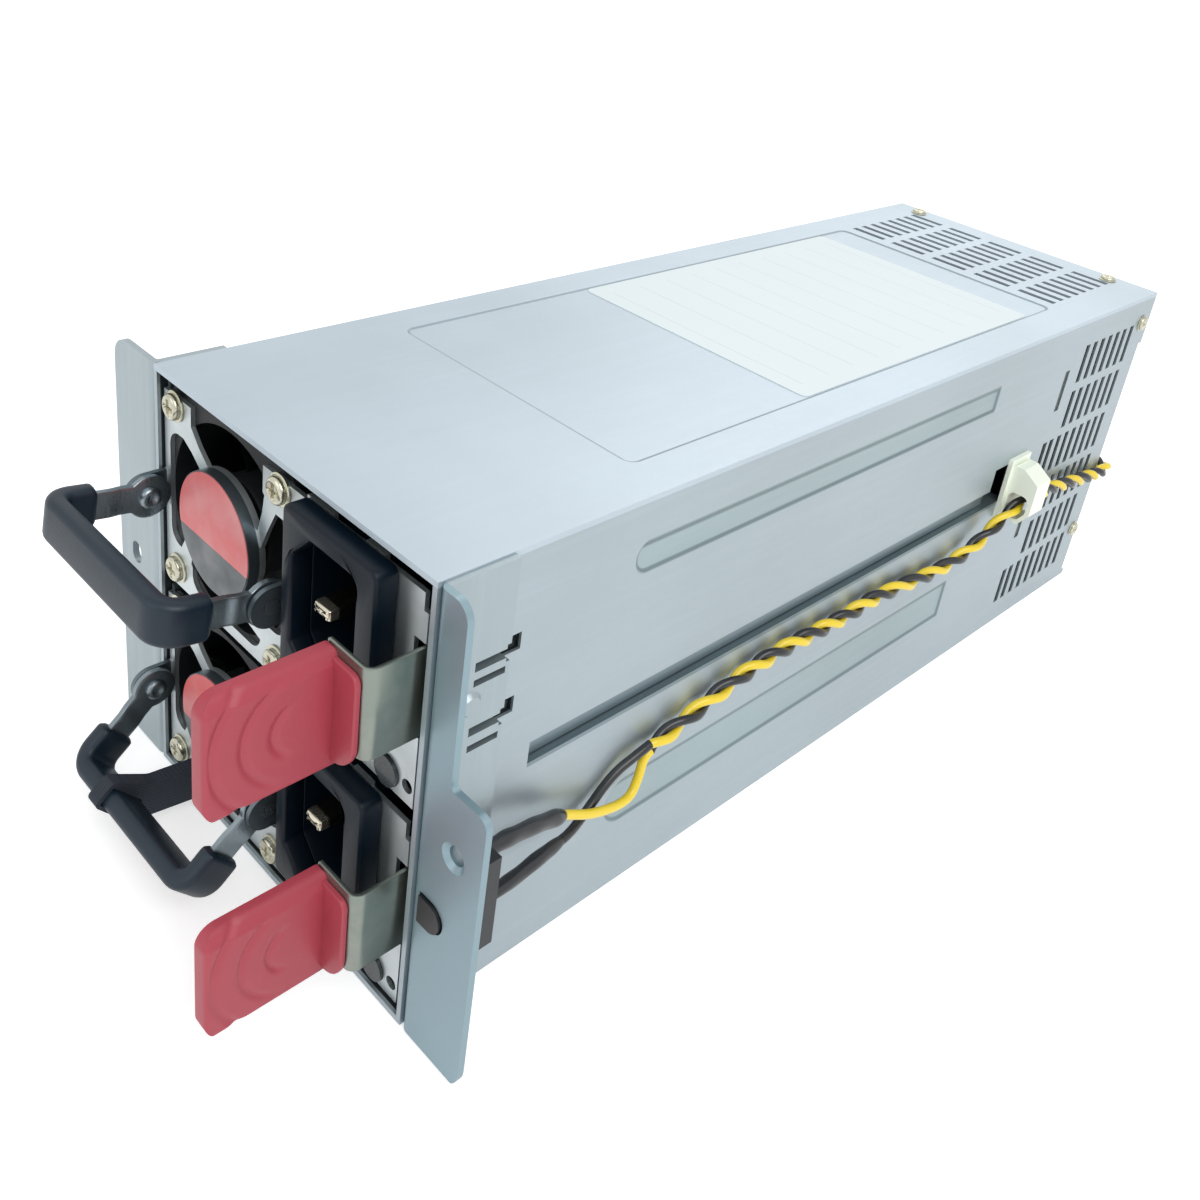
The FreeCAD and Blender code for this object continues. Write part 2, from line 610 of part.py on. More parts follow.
def black_lead():
    along, off = pair_ends()
    end = PAIR_START + off
    x, z = LEAD_X, D_Z
    pts = [SLEEVE_B[-1], (x + 2.8, 30.2, z - 4.04), (x + 1.3, 35.0, z - 4.0),
           (x + 1.2, 41.0, z + 1.8),
           tuple(end - along * 3.2), tuple(end)]
    return tube("black lead", pts, WIRE_R, [LEAD_BEND[0]] * (len(pts) - 2))


def yellow_lead():
    along, off = pair_ends()
    end = PAIR_START - off
    x, z = LEAD_X, D_Z
    pts = [SLEEVE_A[-1], (x + 3.1, 29.2, z + 1.4), (x + 3.5, 35.2, z - 1.8),
           (x + 3.1, 44.4, z - 4.5), (x + 2.3, 47.2, z - 1.2), tuple(end - along * 1.6),
           tuple(end)]
    return tube("yellow lead", pts, WIRE_R, [LEAD_BEND[1]] * (len(pts) - 2))


def twisted_pair():
    """The pair's round envelope along the wall, through the clip and into the rear panel."""
    pts = [tuple(PAIR_START), tuple(PAIR_NEXT), (PAIR_X, 80.0, 37.7), (PAIR_X, 106.0, 35.8),
           (PAIR_X, 117.0, 36.8), (PAIR_X, CAGE_D - 76.0, 32.0),
           (PAIR_X + 1.6, CLIP_LOOP_Y[0], CLIP_Z[0] + 3.0),
           (PAIR_X + 2.4, CLIP_Y[1], CLIP_Z[0] + 5.4), (PAIR_X, PAIR_EXIT, 34.4),
           (PAIR_X, PAIR_BACK, PAIR_OUT[1]), (PAIR_OUT[0], PAIR_BACK, PAIR_OUT[1]),
           (PAIR_OUT[0], PAIR_EXIT, PAIR_OUT[1])]
    tight = [PAIR_BACK - CAGE_D] * 2
    return tube("twisted pair", pts, PAIR_R, [PAIR_BEND] * (len(pts) - 4) + tight)


def cable_clip():
    """Stick-on clip: a base on the wall and an eight-sided loop round the pair."""
    z0, z1 = CLIP_Z
    seat = HALF + CLIP_BASE
    base = box(HALF, seat, *CLIP_Y, *CLIP_Z)
    loop = plate("y", [(seat, z0 + 0.2, 0.6), (HALF + 5.4, z0 + 0.2, 0.6),
                       (HALF + 7.6, z0 + 3.2, 0.6), (HALF + 7.6, z1 - 4.0, 0.6),
                       (HALF + 3.6, z1 - 1.4, 0.6), (seat, z1 - 1.4, 0.6)], *CLIP_LOOP_Y)
    hole = plate("y", [(HALF + 1.5, z0 + 1.1, 1.4), (HALF + 5.0, z0 + 1.1, 1.4),
                       (HALF + 6.5, z0 + 3.4, 1.0), (HALF + 6.5, z0 + 7.4, 1.6),
                       (HALF + 1.5, z0 + 7.4, 1.6)], CLIP_LOOP_Y[0] - 1, CLIP_LOOP_Y[1] + 1)
    return base.fuse(loop).removeSplitter().cut(hole)


def rating_label():
    """Bare label in the recess of the top panel."""
    z = CAGE_H - RECESS_DEEP
    x1, y1 = RECESS_X[1] - LABEL_EDGE, RECESS_Y[1] - LABEL_BACK
    return rounded("z", x1 - LABEL_W, x1, y1 - LABEL_L, y1, 1.5, z, z + LABEL_T)


# ---- supply modules, drawn about the middle of their own height

def case():
    """Tray of a module: floor, two sides and a slotted rear wall."""
    h, w, t = MOD_UP, MOD_HALF, MOD_SHEET
    bits = [box(-w, w, SHEET_Y, MOD_D, -h, -h + t)]
    for side in (-1, 1):
        bits.append(slab(side, w - t, w, SHEET_Y, MOD_D, -h, h - t))
    bits.append(box(-w, w, MOD_D - t, MOD_D, -h, h - t))
    body = fuse(bits)
    body = body.cut(box(-CONN_X + 1.5, CONN_X - 1.5, MOD_D - 3, MOD_D + 3, PCB_Z - 1.5,
                        PCB_Z + PCB_T + 1.5))
    for x in REAR_SLOTS:
        body = body.cut(rounded("y", x - 3, x + 3, -4.0, 14.0, 1.2, MOD_D - 3, MOD_D + 3))
    for z0, z1 in LATCH_TEETH:
        body = body.cut(box(w - t - 1, w + 1, TOOTH_Y[0] - TOOTH_ROOM, TOOTH_Y[1] + TOOTH_ROOM,
                            z0 - TOOTH_ROOM, z1 + TOOTH_ROOM))
    for x, y in STANDOFFS:
        body = body.fuse(rod("z", STANDOFF_R, x, y, -h + t, PCB_Z))
        body = body.cut(rod("z", PILOT_R, x, y, -h + 2, 0))
    return body.removeSplitter()


def case_cover():
    return box(-MOD_HALF, MOD_HALF, SHEET_Y + COVER_BACK, MOD_D, PART_TOP, MOD_UP)


def fan_points():
    return [(FAN_X + sx * FAN_HOLE, sz * FAN_HOLE) for sx in (-1, 1) for sz in (-1, 1)]


def ring_arc(r, a):
    return (FAN_X + r * math.cos(math.radians(a)), r * math.sin(math.radians(a)))


def front_plate():
    """Nickel plated front: four fan screw pads, curved guard spokes, inlet and latch openings."""
    y0, y1 = FRONT_Y, SHEET_Y
    half = MOD_UP - 0.2
    body = box(-MOD_HALF + 0.15, LATCH_X - 0.2, y0, y1, -half, half - TOP_DROP)
    for x0, x1 in TOP_TABS:
        body = body.fuse(box(INLET_X[0] + x0, INLET_X[0] + x1, y0, y1, half - TOP_DROP,
                             half - TOP_DROP + 1.0))
    bore = FAN_X + BORE_R
    for cut in (rounded("y", FAN_X - GUARD_HALF, FAN_X + GUARD_HALF, -GUARD_LOW, half + 4, 3.0,
                        y0 - 1, y1 + 1),
                rounded("y", FAN_X - BORE_R, bore, -GUARD_HALF, GUARD_HALF, 3.0,
                        y0 - 1, y1 + 1),
                box(FAN_X, INLET_X[0] + 0.5, y0 - 1, y1 + 1, GUARD_HALF / 2, GUARD_HALF),
                rod("y", BORE_R - 1.0, FAN_X, 0, y0 - 1, y1 + 1)):
        body = body.cut(cut)
    dish = rod("y", STICKER_R + 0.2, FAN_X, 0, y0 - GUARD_RISE, y1)
    guard = [dish.cut(rod("y", STICKER_R + 0.2 - MOD_SHEET, FAN_X, 0,
                          y0 - GUARD_RISE + MOD_SHEET, y1 + 1))]
    hub, mid, rim = STICKER_R - 0.3, (STICKER_R + BORE_R) / 2, BORE_R + 1.2
    for pad, root in GUARD_SPOKES:
        lean = (pad + root) / 2 + (pad - root) * 0.12
        pts = [ring_arc(hub, root - 8), ring_arc(mid, lean - 6), ring_arc(rim, pad - 7),
               ring_arc(rim, pad + 7), ring_arc(mid, lean + 6), ring_arc(hub, root + 8)]
        guard.append(plate("y", pts, y0, y1))
    body = body.multiFuse(guard).removeSplitter()
    body = body.cut(rounded("y", INLET_X[0] + 1, INLET_X[1] - 1, INLET_Z[0] + 1,
                            INLET_Z[1] - INLET_LIP + 0.2, 1.0, y0 - 1, y1 + 1))
    body = body.cut(box(LATCH_X - 2.8, MOD_HALF, y0 - 1, y1 + 1, LATCH_Z[0] - 0.4,
                        LATCH_Z[1] + 0.4))
    body = body.cut(box(LATCH_X - 1.2, MOD_HALF, y0 - 1, y1 + 1, MOD_UP - 4.9, MOD_UP - 0.8))
    body = body.cut(rod("y", 1.2, LATCH_X - 1.8, LED_AT[1] + 0.2, y0 - 1, y1 + 1))
    body = body.cut(rod("y", LED_R, *LED_AT, y0 - 1, y1 + 1))
    for x, z in fan_points():
        body = body.cut(rod("y", 1.5, x, z, y0 - 1, y1 + 1))
    for x0, x1 in EARS:
        low, high = PIVOT_DZ - EAR_HALF, PIVOT_DZ + EAR_HALF
        body = body.fuse(plate("x", [(y1, low), (y1, high), (PIVOT_Y - EAR_HALF, high, 3.5),
                                     (PIVOT_Y - EAR_HALF, low, 3.5)], x0, x1))
        body = body.cut(rod("x", PIN_R + RUN, PIVOT_Y, PIVOT_DZ, x0 - 0.1, x1 + 0.1))
    return body.removeSplitter()


def led_lens():
    """Light pipe: a round lens in the front plate and a thinner stem behind it."""
    lens = rod("y", LED_R - 0.1, *LED_AT, FRONT_Y - 0.6, SHEET_Y)
    return lens.fuse(rod("y", LED_R - 0.6, *LED_AT, SHEET_Y, SHEET_Y + 2.0)).removeSplitter()


def fan_frame():
    """Square fan housing with its bore, corner holes, rear struts and bearing disc."""
    h, y0 = FAN / 2, SHEET_Y
    y1 = y0 + FAN_DEEP
    body = rounded("y", FAN_X - h, FAN_X + h, -h, h, 2.5, y0, y1)
    body = body.cut(rod("y", BORE_R, FAN_X, 0, y0 - 1, y1 + 1))
    back = y1 - FAN_BACK
    bits = [rod("y", HUB_R, FAN_X, 0, back, y1)]
    for a in (30, 150, 270):
        strut = box(FAN_X, FAN_X + BORE_R + 0.5, back, y1, -1.2, 1.2)
        strut.rotate(V(FAN_X, 0, 0), V(0, 1, 0), a)
        bits.append(strut)
    body = body.multiFuse(bits).removeSplitter()
    body = body.cut(rod("y", SHAFT_R + RUN, FAN_X, 0, back - 1, y1 + 1))
    for x, z in fan_points():
        body = body.cut(rod("y", 1.45, x, z, y0 - 1, y0 + 9))
    return body


def fan_rotor():
    """Hub cup with tilted blades and the shaft that runs in the bearing disc."""
    front = SHEET_Y + 1.6
    back = SHEET_Y + FAN_DEEP - FAN_BACK - 0.3
    bits = [rod("y", HUB_R, FAN_X, 0, front, back),
            rod("y", SHAFT_R, FAN_X, 0, back, back + FAN_BACK)]
    mid = (front + back) / 2
    for k in range(BLADES):
        blade = box(-6.5, 6.5, -0.5, 0.5, HUB_R - 1.0, TIP_R)
        blade.rotate(V(0, 0, 0), V(0, 0, 1), BLADE_TILT)
        blade.translate(V(FAN_X, mid, 0))
        blade.rotate(V(FAN_X, 0, 0), V(0, 1, 0), 360.0 / BLADES * k)
        bits.append(blade)
    body = bits[0].multiFuse(bits[1:]).removeSplitter()
    return body.common(rod("y", TIP_R, FAN_X, 0, front - 1, back + 5))


def hub_label():
    face = FRONT_Y - GUARD_RISE
    return rod("y", STICKER_R, FAN_X, 0, face - LABEL_T, face)


def fan_screws():
    return Part.makeCompound([screw("y", x, z, FRONT_Y, -1, *FAN_SCREW)
                              for x, z in fan_points()])


def inlet_housing():
    """Upright mains inlet: bezel, body and a socket with two chamfered corners."""
    x0, x1 = INLET_X
    z0, z1 = INLET_Z
    body = rounded("y", x0 + 1.2, x1 - 1.2, z0 + 1.2, z1 - INLET_LIP, 0.8,
                   FRONT_Y, INLET_Y + INLET_DEEP)
    body = body.fuse(rounded("y", x0, x1, z0, z1, 1.5, INLET_Y, FRONT_Y)).removeSplitter()
    s0, s1 = SOCKET_X
    low, high = SOCKET_MID - SOCKET_HALF, SOCKET_MID + SOCKET_HALF
    c = SOCKET_CHAMFER
    cavity = plate("y", [(s0, low + c), (s0 + c, low), (s1, low, SOCKET_R),
                         (s1, high, SOCKET_R), (s0 + c, high), (s0, high - c)],
                   INLET_Y - 1, INLET_Y + SOCKET_DEEP)
    body = body.cut(cavity)
    for point in blade_points():
        body = body.cut(blade_box(*point))
    return body


def blade_points():
    x = EARTH_X + BLADE_STEP
    return ((EARTH_X, SOCKET_MID, EARTH_TIP), (x, SOCKET_MID - BLADE_GAP, POLE_TIP),
            (x, SOCKET_MID + BLADE_GAP, POLE_TIP))


def blade_box(x, z, tip):
    w, h = BLADE_SIZE[0] / 2, BLADE_SIZE[1] / 2
    return box(x - w, x + w, INLET_Y + tip, INLET_Y + INLET_DEEP + BLADE_TAIL, z - h, z + h)


def inlet_blades():
    return Part.makeCompound([blade_box(*point) for point in blade_points()])


# ---- handle, drawn pointing straight forward and then turned about its pivots

def turned(shape, rest):
    shape.rotate(V(0, PIVOT_Y, PIVOT_DZ), V(-1, 0, 0), rest)
    return shape


def arm_box(x0):
    front = PIVOT_Y - GRIP_REACH + GRIP_WALL + 2.0
    return box(x0, x0 + ARM_T, front, PIVOT_Y, PIVOT_DZ - ARM_H / 2, PIVOT_DZ + ARM_H / 2)


def handle_arms(rest):
    """Two flat steel arms with round eyes at the pivots."""
    bits = []
    for x0 in (ARM_LEFT_X, ARM_RIGHT_X - ARM_T):
        eye = rod("x", PIVOT_DISC_R, PIVOT_Y, PIVOT_DZ, x0, x0 + ARM_T)
        arm = arm_box(x0).fuse(eye).removeSplitter()
        arm = arm.cut(rod("x", PIN_R + RUN, PIVOT_Y, PIVOT_DZ, x0 - 1, x0 + ARM_T + 1))
        bits.append(turned(arm, rest))
    return Part.makeCompound(bits)


def handle_grip(rest):
    """Moulded grip: a bar with a short return leg over the end of each arm."""
    x0, x1 = GRIP_X
    front = PIVOT_Y - GRIP_REACH
    z0, z1 = PIVOT_DZ - GRIP_H / 2, PIVOT_DZ + GRIP_H / 2
    back = front + GRIP_LEG
    w = GRIP_WALL
    body = plate("z", [(x0, back), (x0, front, 5.0), (x1, front, 5.0), (x1, back), (x1 - w, back),
                       (x1 - w, front + w, 1.6), (x0 + w, front + w, 1.6), (x0 + w, back)],
                 z0, z1)
    for a0 in (ARM_LEFT_X, ARM_RIGHT_X - ARM_T):
        body = body.cut(arm_box(a0))
    return turned(body, rest)


def handle_rivets(rest):
    """Shouldered rivets: the head is inside the arm and the pin turns in the ear."""
    bits = []
    head_r, head_t = PIN_HEAD
    for x, sign, end in ((ARM_LEFT_X + ARM_T, -1, EARS[0][0]),
                         (ARM_RIGHT_X - ARM_T, 1, EARS[1][1])):
        pin = rod("x", PIN_R, PIVOT_Y, PIVOT_DZ, *sorted((x, end)))
        head = rod("x", head_r, PIVOT_Y, PIVOT_DZ, *sorted((x, x - sign * head_t)))
        rim = [e for e in head.Edges if e.Curve.TypeId == "Part::GeomCircle"
               and abs(e.CenterOfMass.x - (x - sign * head_t)) < 1e-6]
        bits.append(turned(head.makeFillet(0.5, rim).fuse(pin), rest))
    return Part.makeCompound(bits)


def cord_strap():
    """Flat band folded round the lower grip, its tail lying back to the module front."""
    tail = FRONT_Y - 0.3
    foot = BASE_T + 0.5 - LOW_MID
    band = plate("x", [(-20.8, -10.6, 1.2), (-17.1, -7.3, 1.2), (-9.5, -11.4, 3.0),
                       (tail, foot + 7.1, 0.4), (tail, foot, 0.4), (-10.0, foot + 1.3, 3.0),
                       (-14.8, foot + 2.2, 0.9)], *STRAP_X)
    x0, x1 = GRIP_X
    front = PIVOT_Y - GRIP_REACH
    bar = box(x0, x1, front, front + GRIP_WALL, PIVOT_DZ - GRIP_H / 2, PIVOT_DZ + GRIP_H / 2)
    return band.cut(turned(bar, LOWER_REST))


# ---- latch

def latch_spring():
    """Plated leaf: side leaf with two teeth and a front leaf bent across the plate."""
    z0, z1 = LATCH_Z
    x1, t = LATCH_X, LATCH_T
    body = plate("z", [(GRIP_PLATE_X[0], LATCH_FRONT_Y), (x1, LATCH_FRONT_Y, LATCH_BEND),
                       (x1, LATCH_END), (x1 - t, LATCH_END),
                       (x1 - t, LATCH_FRONT_Y + t, LATCH_BEND - t),
                       (GRIP_PLATE_X[0], LATCH_FRONT_Y + t)], z0, z1)
    for a, b in LATCH_TEETH:
        tooth = plate("z", [(x1, TOOTH_Y[0]), (TOOTH_OUT, TOOTH_Y[0] + TOOTH_RAMP),
                            (TOOTH_OUT, TOOTH_Y[1]), (x1, TOOTH_Y[1])], a, b)
        body = body.fuse(tooth)
    return body.removeSplitter()


def latch_grip():
    """Red finger grip with a bevelled top, a base pad and three curved grooves."""
    x0, x1 = GRIP_PLATE_X
    y0, y1 = GRIP_PLATE_Y
    z0, z1 = GRIP_PLATE_Z
    body = plate("x", [(y0, z0, 2.5), (y1, z0, 0.5), (y1, z1, 0.5), (y0, z1, 2.5)], x0, x1)
    pad = plate("y", [(x0, z0 + 1.7), (PAD_END, z0 + 1.7, 5.0), (PAD_END, z1 - 1.2, 1.5),
                      (x0, z1 - 1.2)], y1 - PAD_T, y1)
    body = body.fuse(pad).removeSplitter()
    bevel = Part.Face(Part.makePolygon([V(x1, y0 - 1, z1 - 1.7), V(x1 + 0.1, y0 - 1, z1 + 0.1),
                                        V(x1 - 1.4, y0 - 1, z1), V(x1, y0 - 1, z1 - 1.7)]))
    body = body.cut(bevel.extrude(V(0, y1 - y0 + 2, 0)))
    mid_z = (z0 + z1) / 2
    for r in GROOVE_R:
        ring = rod("x", r + GROOVE_HALF, GROOVE_Y, mid_z, x1 - GROOVE_DEEP, x1 + 1)
        ring = ring.cut(rod("x", r - GROOVE_HALF, GROOVE_Y, mid_z, x1 - 1, x1 + 2))
        keep = box(x1 - 1, x1 + 2, GROOVE_Y - r - 2, GROOVE_Y - r * 0.25,
                   mid_z - GROOVE_TALL, mid_z + GROOVE_TALL)
        body = body.cut(ring.common(keep))
    return body


# ---- inside a module

def main_board():
    """Circuit board on the case standoffs, its tongue reaching back into the receptacle."""
    z0, z1 = PCB_Z, PCB_Z + PCB_T
    body = box(-PCB_X, PCB_X, *PCB_Y, z0, z1)
    body = body.fuse(box(-TONGUE_X, TONGUE_X, MOD_D - 6, TONGUE_END, z0, z1)).removeSplitter()
    for x, y in STANDOFFS:
        body = body.cut(rod("z", PILOT_R, x, y, z0 - 1, z1 + 1))
    return body


def heatsinks():
    """Two upright finned extrusions, one along each side of the board."""
    bits = []
    low, high = PCB_Z + PCB_T, PART_TOP - 4.4
    root, web, tip = SINK_X
    for side in (-1, 1):
        fins = [slab(side, root, web, *SINK_Y, low, high)]
        for k in range(FINS):
            top = high - FIN_PITCH * k
            fins.append(slab(side, web, tip, *SINK_Y, top - FIN_T, top))
        bits.append(fuse(fins))
    return Part.makeCompound(bits)


def board_parts():
    """Bulk capacitors, transformer, choke and line filter standing on the board."""
    low = PCB_Z + PCB_T
    choke_y = MOD_D - 21.0
    choke = rod("z", 8.0, 0, choke_y, low, low + 12.0)
    bits = [choke.cut(rod("z", 3.5, 0, choke_y, low - 1, low + 13))]
    for y in (SINK_Y[0] + 10.0, SINK_Y[0] + 31.0):
        bits.append(rod("z", CAP_R, -2.0, y, low, PART_TOP - 3.4))
    bits.append(box(-12.0, 12.0, SINK_Y[0] + 46.0, MOD_D - 37.0, low, PART_TOP - 6.4))
    bits.append(box(MOD_HALF - 26.75, MOD_HALF - 4.75, PCB_Y[0] + 2.0, SINK_Y[0] - 3.0, low,
                    PART_TOP - 10.4))
    return Part.makeCompound(bits)


# ---- write every node

CAGE = {
    "base_plate": lambda: box(-HALF, HALF, 0, CAGE_D, 0, BASE_T),
    "left_wall": lambda: wall(-1),
    "right_wall": lambda: wall(1),
    "top_cover": top_cover,
    "mid_shelf": mid_shelf,
    "rear_panel": rear_panel,
    "left_bracket": left_bracket,
    "right_bracket": right_bracket,
    "bracket_rivets": bracket_rivets,
    "cover_screws": cover_screws,
    "backplane_board": backplane_board,
    "bay_connectors": bay_connectors,
    "cable_grommets": cable_grommets,
    "rating_label": rating_label,
    "cable_clip": cable_clip,
    "reset_switch": reset_switch,
    "reset_button": reset_button,
    "lead_sleeves": lead_sleeves,
    "yellow_lead": yellow_lead,
    "black_lead": black_lead,
    "twisted_pair": twisted_pair,
}
MODULE = {
    "case": case,
    "case_cover": case_cover,
    "front_plate": front_plate,
    "fan_frame": fan_frame,
    "fan_rotor": fan_rotor,
    "hub_label": hub_label,
    "fan_screws": fan_screws,
    "inlet_housing": inlet_housing,
    "inlet_blades": inlet_blades,
    "latch_spring": latch_spring,
    "latch_grip": latch_grip,
    "led_lens": led_lens,
    "main_board": main_board,
    "heatsinks": heatsinks,
    "board_parts": board_parts,
}
HANDLE = {"handle_arms": handle_arms, "handle_grip": handle_grip, "handle_rivets": handle_rivets}

for node, build in CAGE.items():
    save(node, build())

for bay, middle, rest in (("upper", HIGH_MID, UPPER_REST), ("lower", LOW_MID, LOWER_REST)):
    for node, build in list(MODULE.items()) + list(HANDLE.items()):
        shape = build(rest) if node in HANDLE else build()
        shape.translate(V(0, 0, middle))
        save(f"{bay}_{node}", shape)

strap = cord_strap()
strap.translate(V(0, 0, LOW_MID))
save("cord_strap", strap)
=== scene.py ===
"""Hot swap server power supply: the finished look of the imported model.

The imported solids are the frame. The pieces that need finer shapes are worked out here with
numpy, in millimetres from the cage's front plane: X across, Y to the rear and Z up. The
shaders work in metres in the model's own frame.
"""
from __future__ import annotations

import logging
import math
from dataclasses import dataclass
from enum import Enum
from typing import Any, Callable, Sequence

import bpy
import numpy as np
from mathutils import Matrix, Vector


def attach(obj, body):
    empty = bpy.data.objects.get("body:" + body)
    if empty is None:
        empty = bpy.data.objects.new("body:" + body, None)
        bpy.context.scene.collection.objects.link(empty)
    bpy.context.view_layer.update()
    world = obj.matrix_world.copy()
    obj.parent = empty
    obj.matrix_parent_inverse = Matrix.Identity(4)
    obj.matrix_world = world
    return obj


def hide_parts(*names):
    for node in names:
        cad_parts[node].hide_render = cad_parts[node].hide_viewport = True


log = logging.getLogger("power_supply")
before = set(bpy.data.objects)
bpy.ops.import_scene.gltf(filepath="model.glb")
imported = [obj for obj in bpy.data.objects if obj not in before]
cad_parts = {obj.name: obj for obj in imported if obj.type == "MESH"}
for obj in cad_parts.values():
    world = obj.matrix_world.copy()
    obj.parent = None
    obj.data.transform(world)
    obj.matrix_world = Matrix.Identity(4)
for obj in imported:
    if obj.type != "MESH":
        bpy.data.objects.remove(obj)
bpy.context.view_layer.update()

MM = 0.001
HALF_DEPTH = 114.0
WALL_X = 38.1
COVER_Z = 84.0
FAN_X = -16.75
# In metres: the inside of the cage, and planes just behind the flanges' and ears' faces; they
# bound the painted shade.
INSIDE_X, INSIDE_Y, INSIDE_Z = 0.0376, 0.1134, (0.0009, 0.0834)
FLANGE_Y, PLATE_Y = -0.1127, -0.1133
Colour = tuple[float, float, float]
Array = np.ndarray
Material = bpy.types.Material
Piece = bpy.types.Object


def srgb(red: float, green: float, blue: float) -> Colour:
    """Linear colour of an 8-bit display colour."""
    vals = np.array([red, green, blue]) / 255.0
    lin = np.where(vals <= 0.04045, vals / 12.92, ((vals + 0.055) / 1.055) ** 2.4)
    return tuple(float(v) for v in lin)


def operators(op: str) -> tuple[Callable[..., "Wire"], Callable[..., "Wire"]]:
    """An operator of a Wire and its reflected form: each adds one Math node."""
    return (lambda wire, other: wire.math(op, wire, other),
            lambda wire, other: wire.math(op, other, wire))


class Wire:
    """An output socket. Operators between sockets and numbers add Math nodes."""

    def __init__(self, shader: "Shader", socket: bpy.types.NodeSocket) -> None:
        self.shader = shader
        self.socket = socket

    def math(self, op: str, *terms: Any) -> "Wire":
        """Add one Math node.

        Args:
            op: the node's operation.
            terms: Wires or numbers.
        Returns:
            The node's value.
        """
        return self.shader.add("ShaderNodeMath", {"operation": op}, dict(enumerate(terms)))

    __add__, __radd__ = operators("ADD")
    __sub__, __rsub__ = operators("SUBTRACT")
    __mul__, __rmul__ = operators("MULTIPLY")
    __truediv__, __rtruediv__ = operators("DIVIDE")
    __pow__, __rpow__ = operators("POWER")
    __gt__, __lt__ = operators("GREATER_THAN")

    def of(self, op: str) -> "Wire":
        """One of the Math node's functions of this value."""
        return self.math(op, self)


class Shader:
    """A node material with one Principled shader."""

    def __init__(self, name: str) -> None:
        self.material = bpy.data.materials.new(name)
        self.material.use_nodes = True
        self.tree = self.material.node_tree
        self.tree.nodes.clear()
        self.main = self.tree.nodes.new("ShaderNodeBsdfPrincipled")
        out = self.tree.nodes.new("ShaderNodeOutputMaterial")
        self.tree.links.new(self.main.outputs[0], out.inputs[0])

    def add(self, kind: str, settings: dict[str, Any], inputs: dict[Any, Any],
            output: Any = 0) -> Wire:
        """Add any node.

        Args:
            kind: the node's type.
            settings: its properties.
            inputs: socket name or number to a Wire, number, colour or vector.
            output: the output socket that is returned.
        Returns:
            The chosen output.
        """
        node = self.tree.nodes.new(kind)
        for key, value in settings.items():
            setattr(node, key, value)
        for key, value in inputs.items():
            self._feed(node.inputs[key], value)
        return Wire(self, node.outputs[output])

    def _feed(self, socket: bpy.types.NodeSocket, value: Any) -> None:
        """Link a Wire to a socket, or set the socket's own value."""
        if isinstance(value, Wire):
            self.tree.links.new(value.socket, socket)
        elif isinstance(value, tuple) and socket.type == "RGBA":
            socket.default_value = (*value, 1.0)
        else:
            socket.default_value = value

    def set(self, **sockets: Any) -> None:
        """Feed the Principled shader; underscores in names stand for spaces."""
        for key, value in sockets.items():
            self._feed(self.main.inputs[key.replace("_", " ")], value)

    def place(self, scale: tuple[float, ...] = (1.0, 1.0, 1.0)) -> Wire:
        """Object coordinates, stretched."""
        base = self.add("ShaderNodeTexCoord", {}, {}, "Object")
        return self.add("ShaderNodeMapping", {}, {"Vector": base, "Scale": scale})

    def axis(self, name: str) -> Wire:
        """One component of the object coordinates, in metres."""
        base = self.add("ShaderNodeTexCoord", {}, {}, "Object")
        return self.add("ShaderNodeSeparateXYZ", {}, {0: base}, name)

    def noise(self, where: Wire, scale: float, detail: float = 3.0,
              rough: float = 0.6) -> Wire:
        """Noise between 0 and 1."""
        return self.add("ShaderNodeTexNoise", {}, {"Vector": where, "Scale": scale,
                                                   "Detail": detail, "Roughness": rough})

    def spread(self, value: Wire, low: float, high: float, most: float = 1.0) -> Wire:
        """Carry a value from a range to 0 ... most, held at both ends."""
        return self.add("ShaderNodeMapRange", {}, {0: value, 1: low, 2: high, 4: most})

    def mix(self, factor: Any, first: Any, second: Any) -> Wire:
        """Blend two colours."""
        return self.add("ShaderNodeMix", {"data_type": "RGBA"}, {0: factor, 6: first, 7: second},
                        2)

    def bump(self, height: Wire, strength: float, distance: float) -> None:
        """Raise the surface by a height, in metres at full strength."""
        self.set(Normal=self.add("ShaderNodeBump", {}, {"Height": height, "Strength": strength,
                                                        "Distance": distance}))


class Run(Enum):
    """Direction that a sheet was rolled or brushed along."""

    Y = (1.0, 0.04, 1.0)
    Z = (1.0, 1.0, 0.04)


@dataclass(frozen=True)
class Finish:
    """A named look.

    Attributes:
        name: the material's name.
        colour: linear main colour.
    """

    name: str
    colour: Colour

    def toned(self, gain: float, lift: float = 0.0) -> Colour:
        """The main colour times a gain plus a lift, at most white."""
        return tuple(min(1.0, c * gain + lift) for c in self.colour)


